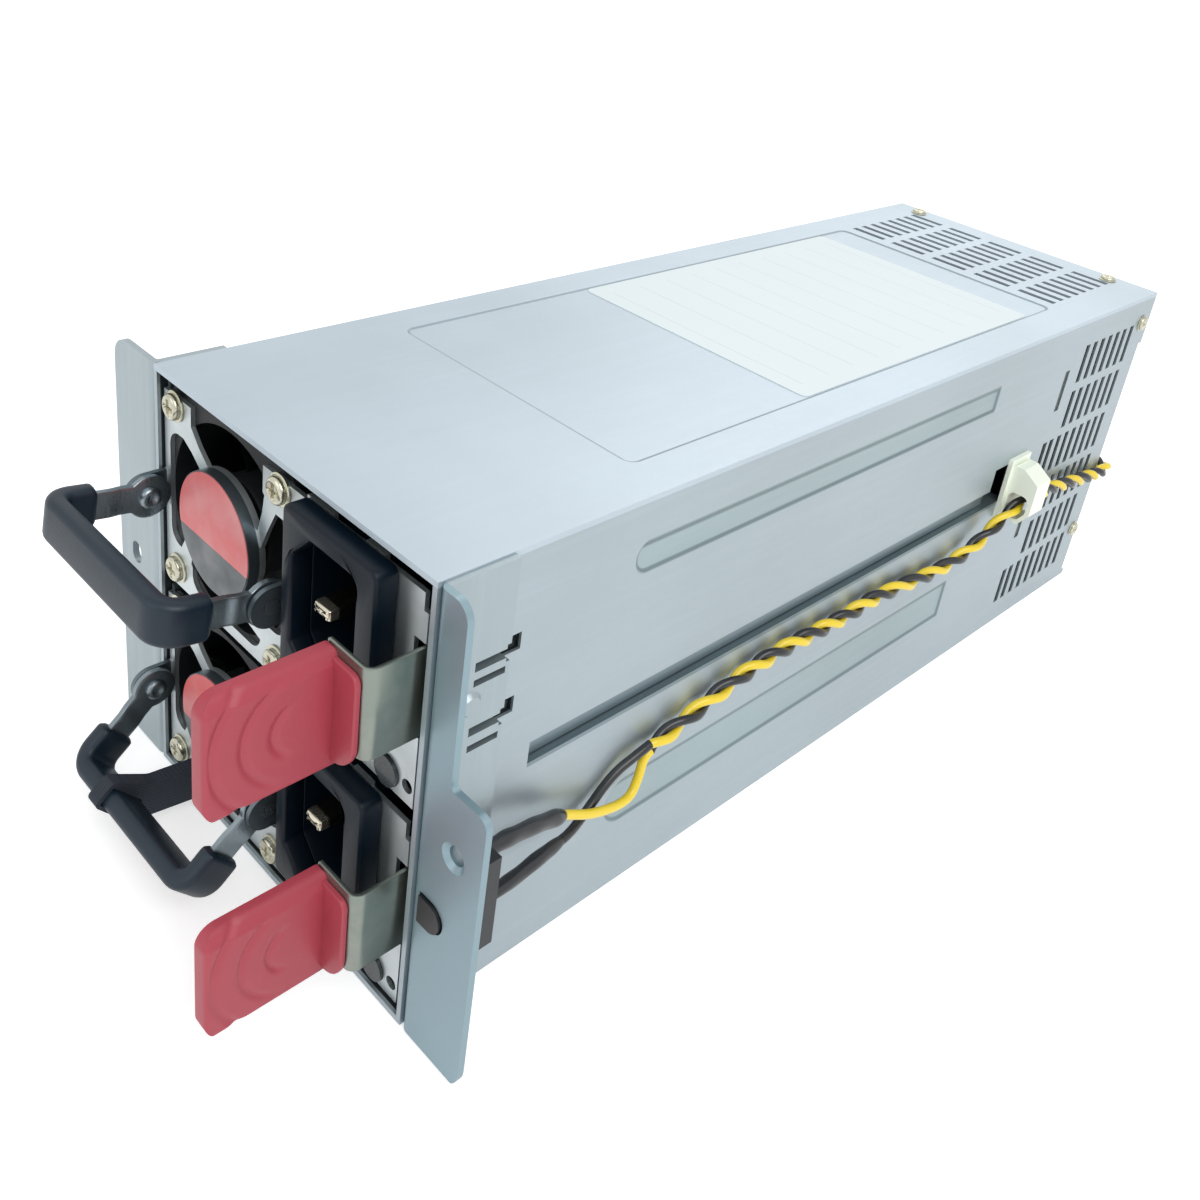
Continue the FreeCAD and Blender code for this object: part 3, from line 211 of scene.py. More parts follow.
@dataclass(frozen=True)
class RolledSteel(Finish):
    """Zinc coated sheet: soft clouding, faint rolling lines and small scuffs.

    Attributes:
        run: direction of the rolling lines.
        rough: middle roughness.
        metal: metallic share.
        lines: how strongly the rolling lines show.
        cloud: how much darker the cloudy patches are.
        inner: how strongly painted shade darkens the faces inside the cage.
        shade: painted shade on the right flange's front face.
        press_shade: axis, face and depth in metres of a pressing whose slopes get painted shade.
    """

    run: Run = Run.Y
    rough: float = 0.42
    metal: float = 0.55
    lines: float = 0.25
    cloud: float = 0.86
    inner: float = 0.0
    shade: Colour | None = None
    press_shade: tuple[str, float, float] | None = None

    def make(self) -> Material:
        """Build the material. The painted shade on a slope is darkest half way down, where 1 -
        |2d - 1|^4 peaks.
        """
        s = Shader(self.name)
        place = s.place()
        cloud = s.noise(place, 16.0, 4.0, 0.55)
        fine = s.noise(place, 900.0, 2.0)
        lines = s.noise(s.place(self.run.value), 700.0)
        scuff = s.spread(s.noise(place, 75.0, 6.0, 0.75), 0.62, 0.74)
        dark = self.toned(self.cloud)
        pale = self.toned(1.10)
        tone = s.mix(s.spread(cloud, 0.35, 0.65), dark, self.colour)
        tone = s.mix(s.spread(lines, 0.45, 0.8, self.lines), tone, pale)
        tone = s.mix(scuff * 0.16, tone, pale)
        if self.inner:
            # Painted shade: the faces inside the cage are darkened nearly to black.
            x, y, z = s.axis("X").of("ABSOLUTE"), s.axis("Y").of("ABSOLUTE"), s.axis("Z")
            shaded_inside = (x < INSIDE_X) * (y < INSIDE_Y) * (z > INSIDE_Z[0]) * (z < INSIDE_Z[1])
            tone = s.mix(shaded_inside * self.inner, tone, (0.012, 0.015, 0.017))
        if self.shade:
            # Painted shade on the right flange's front face, which faces the front.
            tone = s.mix((s.axis("Y") < FLANGE_Y) * (s.axis("X") > 0.0), tone, self.shade)
        if self.press_shade:
            axis, face, deep = self.press_shade
            # Painted shade on the pressing's slopes, darkest half way down.
            down = (face - s.axis(axis).of("ABSOLUTE")) / deep
            slope = 1.0 - (2.0 * (down - 0.5).of("ABSOLUTE")) ** 4.0
            tone = s.mix(s.spread(slope, 0.0, 1.0, 0.62), tone, (0.09, 0.135, 0.155))
        s.set(Base_Color=tone, Metallic=self.metal,
              Roughness=self.rough + (cloud - 0.5) * 0.16 + (fine - 0.5) * 0.10 + scuff * 0.05)
        s.bump(lines * 0.7 + fine * 0.3, 0.10, 0.00006)
        return s.material


@dataclass(frozen=True)
class Plated(Finish):
    """Bright plating on pressed or turned steel.

    Attributes:
        rough: middle roughness.
        stain: linear colour of the duller patches.
        grain: strength of the polishing lines.
        run: direction of the polishing lines.
        ears: colour of what stands out ahead of the front plate: painted shade on the front
            plate's ears, and the bright metal of the blade tips.
    """

    rough: float = 0.22
    stain: Colour = (0.40, 0.42, 0.38)
    grain: float = 0.12
    run: Run = Run.Z
    ears: Colour | None = None

    def make(self) -> Material:
        """Build the material."""
        s = Shader(self.name)
        place = s.place()
        patch = s.noise(place, 90.0, 4.0)
        lines = s.noise(s.place(self.run.value), 1800.0)
        pits = s.spread(s.noise(place, 1500.0), 0.62, 0.75)
        tone = s.mix(s.spread(patch, 0.45, 0.75, 0.55), self.colour, self.stain)
        if self.ears:
            # What stands ahead of the front plate takes the ears colour: painted shade on the
            # plate's ears, the bright metal on the blade tips.
            tone = s.mix(s.axis("Y") < PLATE_Y, tone, self.ears)
        s.set(Base_Color=tone, Metallic=0.92,
              Roughness=self.rough + (patch - 0.5) * 0.18 + lines * self.grain + pits * 0.08)
        s.bump(lines - pits * 0.5, 0.12, 0.00004)
        return s.material


@dataclass(frozen=True)
class Moulded(Finish):
    """Moulded plastic or rubber: fine spark grain, faint flow clouding and paler worn patches.

    Attributes:
        rough: middle roughness.
        grain: height of the surface grain in metres.
        grain_scale: grains per metre.
        coat: clear coat weight.
        bloom: how much paler the cloudy patches are.
        shine: mirror level, 0.5 for plain plastic.
    """

    rough: float = 0.48
    grain: float = 0.00003
    grain_scale: float = 2600.0
    coat: float = 0.0
    bloom: float = 1.25
    shine: float = 0.5

    def make(self) -> Material:
        """Build the material."""
        s = Shader(self.name)
        place = s.place()
        cloud = s.noise(place, 60.0, 4.0)
        grain = s.noise(place, self.grain_scale, 2.0, 0.5)
        wear = s.spread(s.noise(place, 240.0, 5.0, 0.7), 0.60, 0.78)
        pale = self.toned(self.bloom, 0.004)
        tone = s.mix(s.spread(cloud, 0.3, 0.7, 0.6), self.colour, pale)
        tone = s.mix(wear * 0.25, tone, pale)
        s.set(Base_Color=tone, Coat_Weight=self.coat, Specular_IOR_Level=self.shine,
              Roughness=self.rough + (cloud - 0.5) * 0.12 + (grain - 0.5) * 0.12)
        s.bump(grain, 0.5, self.grain)
        return s.material


@dataclass(frozen=True)
class SplitSticker(Finish):
    """Bare two-colour fan sticker: the main colour lies above a level line.

    Attributes:
        lower: linear colour below it.
        line_z: height of the line in metres.
    """

    lower: Colour
    line_z: float

    def make(self) -> Material:
        """Build the material."""
        s = Shader(self.name)
        place = s.place()
        fibre = s.noise(place, 2200.0)
        cloud = s.noise(place, 120.0, 3.0, 0.5)
        tone = s.mix(s.axis("Z") > self.line_z, self.lower, self.colour)
        tone = s.mix(s.spread(cloud, 0.35, 0.7, 0.22), tone, (0.75, 0.72, 0.72))
        s.set(Base_Color=tone, Roughness=0.38 + fibre * 0.12, Coat_Weight=0.15)
        s.bump(fibre, 0.25, 0.00002)
        return s.material


@dataclass(frozen=True)
class LabelPaper(Finish):
    """Bare satin label with faint ruled fields over the paper's colour.

    Attributes:
        rule: linear colour of the rules.
        pitch: distance between the rules in metres.
        sides: left and right ends of the rules in metres.
    """

    rule: Colour
    pitch: float = 0.0085
    sides: tuple[float, float] = (-0.026, 0.0245)

    def make(self) -> Material:
        """Build the material. A rule lies where Y over the pitch wraps past 0.965."""
        s = Shader(self.name)
        place, x = s.place(), s.axis("X")
        fibre = s.noise(place, 1600.0)
        cloud = s.noise(place, 30.0, 3.0, 0.5)
        rules = ((s.axis("Y") / self.pitch).of("FRACT") > 0.965) * (
            (x > self.sides[0]) * (x < self.sides[1]))
        tone = s.mix(s.spread(cloud, 0.3, 0.7, 0.3), self.colour, self.toned(0.93))
        tone = s.mix(rules * 0.30, tone, self.rule)
        s.set(Base_Color=tone, Roughness=0.42 + fibre * 0.12)
        s.bump(fibre, 0.2, 0.00002)
        return s.material


@dataclass(frozen=True)
class Laminate(Finish):
    """Printed circuit board: a solder mask in the main colour over faint track relief.

    Attributes:
        track: linear colour over the copper.
    """

    track: Colour

    def make(self) -> Material:
        """Build the material."""
        s = Shader(self.name)
        cells = s.add("ShaderNodeTexVoronoi", {"distance": "CHEBYCHEV"},
                      {"Vector": s.place(), "Scale": 260.0})
        tracks = s.spread(cells, 0.32, 0.36)
        s.set(Base_Color=s.mix(tracks, self.colour, self.track), Roughness=0.35 + tracks * 0.1)
        s.bump(tracks, 0.3, 0.00003)
        return s.material


@dataclass(frozen=True)
class Woven(Finish):
    """Woven strap: two sets of crossing ribs.

    Attributes:
        pitch: rib pitch in metres.
    """

    pitch: float = 0.0007

    def make(self) -> Material:
        """Build the material. The ribs are the product of sines along Y and Z."""
        s = Shader(self.name)
        turn = 2 * math.pi / self.pitch
        warp, weft = ((s.axis(name) * turn).of("SINE") for name in "YZ")
        weave = warp * weft * 0.5 + 0.5
        fuzz = s.noise(s.place(), 3000.0, 3.0, 0.7)
        s.set(Base_Color=s.mix(weave * 0.6 + fuzz * 0.3, self.colour,
                               self.toned(1.9, 0.01)),
              Roughness=0.72 + fuzz * 0.15)
        s.bump(weave + fuzz * 0.4, 0.6, 0.00012)
        return s.material


class Skin:
    """Gathers closed surfaces into one mesh."""

    def __init__(self) -> None:
        self.points: list[Array] = []
        self.faces: list[list[int]] = []
        self.count = 0

    def add(self, pts: Array, up: float = 0.0, loop: bool = False) -> "Skin":
        """Add a closed surface of rows by columns, turned so that it faces outwards.

        The last column meets the first. The end rows meet in a loop, and are closed by fans
        otherwise. The side that faces out follows from the sign of the enclosed volume, the
        sum of a . (b x c) over the triangles.

        Args:
            pts: points, shape (rows, columns, 3).
            up: added height, such as a bay's middle.
            loop: the last row meets the first.
        Returns:
            This skin.
        """
        rows, cols = pts.shape[:2]
        index = np.arange(rows * cols).reshape(rows, cols)
        below = index if loop else index[:-1]
        above = np.roll(index, -1, 0) if loop else index[1:]
        quads = np.stack([below, np.roll(below, -1, 1), np.roll(above, -1, 1), above],
                         -1).reshape(-1, 4)
        pts = pts + np.array([0.0, -HALF_DEPTH, up])
        flat, tris = pts.reshape(-1, 3), np.empty((0, 3), int)
        if not loop:
            ends, hub = index[[0, -1]], np.full(cols, len(flat))
            tris = np.vstack([np.stack([np.roll(ends[0], -1), ends[0], hub], -1),
                              np.stack([ends[1], np.roll(ends[1], -1), hub + 1], -1)])
            flat = np.vstack([flat, pts[0].mean(0), pts[-1].mean(0)])
        soup = np.vstack([quads[:, [0, 1, 2]], quads[:, [0, 2, 3]], tris])
        a, b, c = (flat[soup[:, k]] - flat.mean(0) for k in range(3))
        if np.einsum("ij,ij->", a, np.cross(b, c)) < 0:
            quads, tris = quads[:, ::-1], tris[:, ::-1]
        self.faces += (quads + self.count).tolist() + (tris + self.count).tolist()
        self.points.append(flat)
        self.count += len(flat)
        return self

    def build(self, name: str, body: str, finish: Material, stands_for: Sequence[str] = (),
              sharp: float = 38.0, slot: str = "") -> Piece:
        """Make the object, dress it and hang it on a body.

        Args:
            name: the piece's name.
            body: the body that it rides.
            finish: its material.
            stands_for: the solids that it replaces.
            sharp: edges over this angle in degrees stay crisp.
            slot: not used; meant as the material slot where it isn't the finish's name up to any
                dot.
        Returns:
            The object.
        """
        mesh = bpy.data.meshes.new(name)
        mesh.from_pydata(np.vstack(self.points) * MM, [], self.faces)
        mesh.polygons.foreach_set("use_smooth", np.ones(len(mesh.polygons), bool))
        mesh.set_sharp_from_angle(angle=math.radians(sharp))
        mesh.materials.append(finish)
        mesh.update()
        obj = bpy.data.objects.new(name, mesh)
        bpy.context.scene.collection.objects.link(obj)
        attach(obj, body)
        if stands_for:
            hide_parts(*stands_for)
        log.info("%s: %d faces on %s", name, len(mesh.polygons), body)
        return obj


def outline(corners: Sequence[Sequence[float]], steps: int = 6) -> Array:
    """Closed outline with round corners: each corner (u, v, radius) becomes an even arc.

    The arc's middle stands off the corner along the half angle, and its points turn from
    one edge's normal to the next.

    Args:
        corners: corner points with their radii.
        steps: points on each arc.
    Returns:
        Points, shape (corners * steps, 2).
    """
    data = np.array(corners, float)
    spot, radius = data[:, :2], np.maximum(data[:, 2], 1e-3)
    back = np.roll(spot, 1, 0) - spot
    on = np.roll(spot, -1, 0) - spot
    back /= np.linalg.norm(back, axis=1, keepdims=True)
    on /= np.linalg.norm(on, axis=1, keepdims=True)
    half = np.arccos(np.clip((back * on).sum(1), -1, 1)) / 2
    lean = back + on
    lean /= np.linalg.norm(lean, axis=1, keepdims=True)
    middle = spot + lean * (radius / np.sin(half))[:, None]
    swing = np.pi / 2 - half
    share = np.linspace(-1, 1, steps)[None, :]
    side = np.stack([-lean[:, 1], lean[:, 0]], 1)
    sign = np.sign((side * on).sum(1))[:, None]
    angle = swing[:, None] * share * sign
    arc = (-lean[:, None, :] * np.cos(angle)[..., None]
           + side[:, None, :] * np.sin(angle)[..., None])
    return (middle[:, None, :] + arc * radius[:, None, None]).reshape(-1, 2)


def box(across: Sequence[float], along: Sequence[float], radius: Any, steps: int = 6) -> Array:
    """Rectangle with round corners.

    Args:
        across: the two sides in the first coordinate.
        along: the two sides in the second one.
        radius: one for all corners, or one for each from (low, low) by way of (high, low).
        steps: points on each arc.
    Returns:
        Points, shape (4 * steps, 2).
    """
    corners = np.stack([np.take(across, (0, 1, 1, 0)), np.take(along, (0, 0, 1, 1)),
                        np.broadcast_to(radius, 4)], -1)
    return outline(corners, steps)


def inset(ring: Array, amount: Array) -> Array:
    """Copies of a closed outline moved inward along its normals by each amount.

    Args:
        ring: outline, shape (n, 2).
        amount: distances, shape (k,).
    Returns:
        Outlines, shape (k, n, 2).
    """
    along = np.roll(ring, -1, 0) - np.roll(ring, 1, 0)
    along /= np.linalg.norm(along, axis=1, keepdims=True)
    normal = np.stack([-along[:, 1], along[:, 0]], 1)
    nxt = np.roll(ring, -1, 0)
    area = (ring[:, 0] * nxt[:, 1] - nxt[:, 0] * ring[:, 1]).sum()
    return ring[None] + normal[None] * np.sign(area) * amount[:, None, None]


def lift(flat: Array, height: Array, axis: str) -> Array:
    """Place outlines (k, n, 2) at heights (k,) or (k, n) along an axis, in X, Y, Z order."""
    tall = np.broadcast_to(height.reshape(len(flat), -1), flat.shape[:2])
    parts = [flat[..., 0], flat[..., 1]]
    parts.insert("xyz".index(axis), tall)
    return np.stack(parts, -1)


def rims(low: float, high: float, bevel: float, steps: int) -> tuple[Array, Array]:
    """Insets and heights of a side whose two rims are quarter circles."""
    turn = np.linspace(0, np.pi / 2, steps)
    rim, rise = bevel * (1 - np.sin(turn)), bevel * (1 - np.cos(turn))
    return np.concatenate([rim, rim[::-1]]), np.concatenate([low + rise, high - rise[::-1]])


def slab(ring: Array, axis: str, low: float, high: float, bevel: float,
         steps: int = 5) -> Array:
    """Solid plate of an outline between two heights, with rims of a radius."""
    shrink, height = rims(low, high, bevel, steps)
    return lift(inset(ring, shrink), height, axis)


def collar(outer: Array, inner: Array, low: float, high: float, bevel: float) -> Array:
    """Ring along Y between two outlines of as many points, its four rims rounded."""
    shrink, height = rims(low, high, bevel, 4)
    return np.concatenate([lift(inset(outer, shrink), height, "y"),
                           lift(inset(inner, -shrink), height, "y")[::-1]])


def circle(radius: float, count: int) -> Array:
    """Circle profile, shape (count, 2)."""
    angle = np.linspace(0, 2 * np.pi, count, endpoint=False)
    return radius * np.stack([np.cos(angle), np.sin(angle)], -1)


def turned(profile: Array, count: int, centre: Sequence[float], axis: str) -> Array:
    """Surface of revolution: each (radius, place along the axis) of a profile goes round.

    Args:
        profile: shape (k, 2).
        count: points around.
        centre: two coordinates across the axis, in X, Y, Z order.
        axis: the axis of turning.
    Returns:
        Grid of points, shape (k, count, 3).
    """
    flat = np.asarray(centre) + profile[:, 0, None, None] * circle(1.0, count)[None]
    return lift(flat, profile[:, 1], axis)


def route(points: Sequence[Sequence[float]], bend: float, spacing: float = 0.5) -> Array:
    """Straight runs joined by tangent arcs, as even steps along the line.

    Each arc runs from one run's direction to the next about a middle on the half angle.

    Args:
        points: the corners of the route.
        bend: bend radius wanted at every corner.
        spacing: distance between the points that come back.
    Returns:
        Points, shape (n, 3).
    """
    spots = np.array(points, float)
    line = [spots[:1]]
    here = spots[0]
    share = np.linspace(0, 1, 9)[:, None]
    for before, spot, after in zip(spots[:-2], spots[1:-1], spots[2:]):
        back, on = before - spot, after - spot
        room = min(np.linalg.norm(here - spot), np.linalg.norm(on) * 0.49)
        back, on = back / np.linalg.norm(back), on / np.linalg.norm(on)
        half = math.acos(float(np.clip(back @ on, -1, 1))) / 2
        radius = min(bend, 0.98 * room * math.tan(half))
        start, stop = spot + back * radius / math.tan(half), spot + on * radius / math.tan(half)
        middle = spot + (back + on) / np.linalg.norm(back + on) * radius / math.sin(half)
        a, b = start - middle, stop - middle
        full = math.pi - 2 * half
        line.append(middle + (np.sin((1 - share) * full) * a + np.sin(share * full) * b)
                    / max(math.sin(full), 1e-6))
        here = stop
    line.append(spots[-1:])
    return stepped(np.vstack(line), spacing)


def stepped(line: Array, spacing: float) -> Array:
    """The same open line as even steps, measured along its length."""
    run = np.concatenate([[0], np.cumsum(np.linalg.norm(np.diff(line, axis=0), axis=1))])
    keep = np.concatenate([[True], np.diff(run) > 1e-9])
    line, run = line[keep], run[keep]
    place = np.linspace(0, run[-1], max(int(run[-1] / spacing), 4))
    return np.stack([np.interp(place, run, line[:, k]) for k in range(3)], -1)


def soft_line(points: Sequence[Sequence[float]], spacing: float = 0.5) -> Array:
    """Even steps along the smooth spline whose control points are a lead's route.

    The spline is of third order: between two neighbouring corners it touches the run at
    its middle, and it starts and ends at the first and last point.

    Args:
        points: the route.
        spacing: distance between the points that come back.
    Returns:
        Points, shape (n, 3).
    """
    curve = bpy.data.curves.new("route", "CURVE")
    curve.dimensions, curve.resolution_u = "3D", 48
    spline = curve.splines.new("NURBS")
    spline.points.add(len(points) - 1)
    spots = np.hstack([np.array(points, float), np.ones((len(points), 1))])
    spline.points.foreach_set("co", spots.ravel())
    spline.order_u, spline.use_endpoint_u = 3, True
    holder = bpy.data.objects.new("route", curve)
    mesh = bpy.data.meshes.new_from_object(holder)
    flat = np.empty(len(mesh.vertices) * 3, np.float32)
    mesh.vertices.foreach_get("co", flat)
    bpy.data.objects.remove(holder)
    bpy.data.curves.remove(curve)
    bpy.data.meshes.remove(mesh)
    return stepped(flat.reshape(-1, 3).astype(float), spacing)


def frames(line: Array, level: Sequence[float] = (0, 0, 1)) -> tuple[Array, Array]:
    """Side and up directions along a line, square to it, the up nearest to a level vector."""
    along = np.gradient(line, axis=0)
    along /= np.linalg.norm(along, axis=1, keepdims=True)
    side = np.cross(along, np.asarray(level, float))
    side /= np.linalg.norm(side, axis=1, keepdims=True)
    return side, np.cross(side, along)


def carry(line: Array, profile: Array, level: Sequence[float] = (0, 0, 1)) -> Array:
    """Profile (side, up) carried square along a line; it may differ at every point.

    Args:
        line: path, shape (n, 3).
        profile: shape (m, 2) or (n, m, 2).
        level: the vector that up stays nearest to.
    Returns:
        Grid of points, shape (n, m, 3).
    """
    side, up = frames(line, level)
    shape = np.broadcast_to(profile, (len(line), *np.asarray(profile).shape[-2:]))
    return (line[:, None] + side[:, None] * shape[..., :1] + up[:, None] * shape[..., 1:])


def even(ring: Array, count: int) -> Array:
    """The same closed outline as evenly spaced points, measured along its length."""
    loop = np.vstack([ring, ring[:1]])
    run = np.concatenate([[0], np.cumsum(np.linalg.norm(np.diff(loop, axis=0), axis=1))])
    place = np.linspace(0, run[-1], count, endpoint=False)
    return np.stack([np.interp(place, run, loop[:, k]) for k in range(2)], -1)


def pillow(ring: Array, spine: Sequence[Sequence[float]], axis: str, base: float,
           relief: Callable[[Array], Array], rows: int = 24) -> Array:
    """Solid with a shaped face: rows run straight from the outline to a middle line.

    Every point moves towards the nearest place on the spine, and the relief gives its
    height there. The flat back lies at the base height.

    Args:
        ring: outline, shape (n, 2).
        spine: the two ends of the middle line; it runs along the first coordinate.
        axis: direction of the heights.
        base: height of the flat back.
        relief: height of the face at points of shape (..., 2).
        rows: rows from the outline to the spine.
    Returns:
        Grid of points, closed by caps.
    """
    (u0, v0), (u1, _) = spine
    target = np.stack([np.clip(ring[:, 0], u0, u1), np.full(len(ring), v0)], -1)
    share = np.linspace(0, 1, rows)[:, None, None] ** 1.1
    face = ring[None] + (target - ring)[None] * share
    height = np.concatenate([np.full((1, len(ring)), base), relief(face)])
    return lift(np.concatenate([ring[None], face]), height, axis)


@dataclass
class BayPart:
    """A sub-assembly of one bay.

    Attributes:
        bay: name of the bay.
        middle: height of the module's middle.
    """

    bay: str
    middle: float

    def piece(self, skin: Skin, name: str, body: str, finish: Material, node: str,
              sharp: float = 38.0) -> Piece:
        """Build a skin as this bay's piece, in place of one of the bay's solids.

        Args:
            skin: the surfaces.
            name: the piece's name without the bay.
            body: the body that it rides, without the bay.
            finish: its material.
            node: the solid that it replaces, without the bay.
            sharp: edges over this angle in degrees stay crisp.
        Returns:
            The object.
        """
        return skin.build(f"{self.bay}_{name}", f"{self.bay}_{body}", finish,
                          [f"{self.bay}_{node}"], sharp)


@dataclass
class Handle(BayPart):
    """Swinging pull handle: two flat arms, a moulded grip and two rivets.

    Attributes:
        rest: stored angle in degrees above level.
        pivot: pivot (y, z from the module's middle).
        reach: distance from the pivot to the front of the bar.
        leg: length of the grip's return legs.
        width: left and right outside of the grip.
        wall: thickness of the grip.
        tall: height of the grip.
        arms: outer and inner faces of the two arms.
        eye: radius of the arm's eye.
        tail: how far the rivets reach past the grip's sides.
    """

    rest: float
    pivot: tuple[float, float] = (-3.2, -1.0)
    reach: float = 18.8
    leg: float = 9.0
    width: tuple[float, float] = (-36.5, 4.1)
    wall: float = 3.6
    tall: float = 7.5
    arms: tuple[tuple[float, float], ...] = ((-35.4, -34.2), (1.8, 3.0))
    eye: float = 3.9
    tail: float = 0.08

    def swung(self, pts: Array) -> Array:
        """Turn points about the pivot by the stored angle, which lifts what lies in front."""
        cos, sin = math.cos(math.radians(self.rest)), math.sin(math.radians(self.rest))
        y, z = pts[..., 1] - self.pivot[0], pts[..., 2] - self.pivot[1]
        return np.stack([pts[..., 0], self.pivot[0] + y * cos + z * sin,
                         self.pivot[1] - y * sin + z * cos], -1)

    def grip(self, finish: Material) -> Piece:
        """Bar and legs: a rounded rectangle carried along a C, drawn in at its two ends."""
        half, high, step = self.wall / 2, self.tall / 2, 0.45
        front, z = self.pivot[0] - self.reach, self.pivot[1]
        left, right = self.width[0] + half, self.width[1] - half
        back = front + self.leg
        line = route([(left, back, z), (left, front + half, z), (right, front + half, z),
                      (right, back, z)], 3.2, step)
        place = np.arange(len(line)) * step
        edge = np.minimum(np.minimum(place, place[-1] - place) / 0.9, 1.0)
        size = 0.80 + 0.20 * np.sqrt(1 - (1 - edge) ** 2)
        ribs = box((-half, half), (-high, high), 1.25, 5)[None] * size[:, None, None]
        skin = Skin().add(self.swung(carry(line, ribs)), self.middle)
        return self.piece(skin, "pull_grip", "handle", finish, "handle_grip")

    def straps(self, finish: Material) -> Piece:
        """Arms: a flat bar whose height swells to a round eye and which steps sideways."""
        skin = Skin()
        front, back = self.pivot[0] - self.reach + 5.2, self.pivot[0] + self.eye - 0.02
        place = back - (back - front) * np.linspace(0, 1, 64) ** 1.3
        off = place - self.pivot[0]
        eye = np.sqrt(np.maximum(self.eye ** 2 - off ** 2, 1e-4))
        high = np.maximum(eye, np.where(off < 0, 2.5, 0.0))
        step = 1 / (1 + np.exp((place + 9.2) / 0.45))
        for (low, top), inward in zip(self.arms, (1.0, -1.0)):
            x = (low + top) / 2 + inward * 0.35 * step
            line = np.stack([x, place, np.full_like(place, self.pivot[1])], -1)
            scale = np.stack([np.full_like(high, (top - low) / 2), high], -1)
            ribs = box((-1, 1), (-1, 1), 0.22, 4)[None] * scale[:, None, :]
            skin.add(self.swung(carry(line, ribs)), self.middle)
        return self.piece(skin, "handle_straps", "handle", finish, "handle_arms", 28.0)

    def pins(self, finish: Material) -> Piece:
        """Rivets: a domed head with a dimple, on a pin through the arm and its ear."""
        skin = Skin()
        turn = np.linspace(0, np.pi / 2, 7)[1:]
        dome = np.stack([2.0 - 0.7 * (1 - np.cos(turn)), 0.9 * np.sin(turn)], -1)
        head = np.vstack([[(1.4, 0.0), (2.0, 0.0)], dome,
                          [(1.05, 0.9), (0.8, 0.78), (0.3, 0.62)]])
        for seat, side, tail in ((self.arms[0][1], 1, self.width[0] - self.tail),
                                 (self.arms[1][0], -1, self.width[1] + self.tail)):
            run = np.vstack([[(1.4, tail)], head * (1, side) + (0, seat)])
            skin.add(self.swung(turned(run, 28, self.pivot, "x")), self.middle)
        return self.piece(skin, "handle_pins", "handle", finish, "handle_rivets")


@dataclass
class Latch(BayPart):
    """Sprung leaf with teeth and the red finger grip on its end.

    Attributes:
        side_x: outer face of the side leaf.
        sheet: thickness of the leaf.
        front_y: front face of the front leaf.
        root_y: rear end of the side leaf.
        leaf_z: bottom and top of the leaf.
        teeth: bottom and top of each tooth.
        plate_x: thickness of the finger plate.
        plate_y: front and rear of the finger plate.
        plate_z: bottom and top of the finger plate.
        pad_x: end of the pad.
    """

    side_x: float = 35.8
    sheet: float = 0.8
    front_y: float = -8.5
    root_y: float = 27.0
    leaf_z: tuple[float, float] = (-6.0, 9.5)
    teeth: tuple[tuple[float, float], ...] = ((4.7, 6.5), (-5.7, -3.9))
    plate_x: tuple[float, float] = (26.5, 29.5)
    plate_y: tuple[float, float] = (-28.5, -8.5)
    plate_z: tuple[float, float] = (-10.7, 9.3)
    pad_x: float = 34.5

    def leaf(self, finish: Material) -> Piece:
        """Leaf: a thin strip section carried round one bend, with two wedge teeth."""
        mid = self.sheet / 2
        z, half = sum(self.leaf_z) / 2, (self.leaf_z[1] - self.leaf_z[0]) / 2
        line = route([(self.plate_x[0], self.front_y + mid, z),
                      (self.side_x - mid, self.front_y + mid, z),
                      (self.side_x - mid, self.root_y, z)], 1.4, 0.4)
        skin = Skin().add(carry(line, box((-mid, mid), (-half, half), 0.18, 3)), self.middle)
        base = self.side_x - 0.1
        tooth = outline([(base, 12.9, 0.05), (36.6, 14.5, 0.2), (36.6, 16.3, 0.15),
                         (base, 16.3, 0.05)], 3)
        for low, high in self.teeth:
            skin.add(slab(tooth, "z", low, high, 0.04, 3), self.middle)
        return self.piece(skin, "latch_leaf", "latch", finish, "latch_spring")

    def grip(self, finish: Material) -> Piece:
        """Finger plate with a bevelled top and three curved grooves, on a round-ended pad."""
        (x0, x1), (y0, y1), (z0, z1) = self.plate_x, self.plate_y, self.plate_z
        mid_y, mid_z = y1 - 5.5, (z0 + z1) / 2

        def face(at: Array) -> Array:
            """Outer face: rounded rims, a sloping top band and a bell-shaped groove on arcs."""
            y, z = at[..., 0], at[..., 1]
            edge = np.minimum.reduce([y - y0, z - z0, z1 - z])
            rim = 0.9 - np.clip(edge, 0, 0.9)
            height = x1 - 0.9 + np.sqrt(np.maximum(0.81 - rim ** 2, 0))
            top = np.clip(z - (z1 - 2.2), 0, 2.2) * 0.62
            away = np.hypot(y - mid_y, z - mid_z)
            turn = np.degrees(np.arctan2(np.abs(z - mid_z), mid_y - y))
            arc = np.exp(-((((away + 2.25) % 4.5) - 2.25) / 0.62) ** 2)
            shown = 1 / (1 + np.exp((turn - 58) / 5))
            near = 1 / (1 + np.exp((away - 15.2) / 0.3)) / (1 + np.exp((3.2 - away) / 0.3))
            return height - top - 0.38 * arc * shown * near

        ring = even(box(self.plate_y, self.plate_z, (3.0, 0.6, 0.6, 3.0), 12), 240)
        pad = box((x0 + 0.2, self.pad_x), (z0 + 1.7, z1 - 1.2), (0.7, 5.0, 1.6, 0.7), 9)
        skin = Skin()
        skin.add(pillow(ring, [(mid_y - 3, mid_z), (mid_y, mid_z)], "x", x0, face, 90),
                 self.middle)
        skin.add(slab(pad, "y", y1 - 1.0, y1, 0.25), self.middle)
        return self.piece(skin, "finger_grip", "latch", finish, "latch_grip", 50.0)


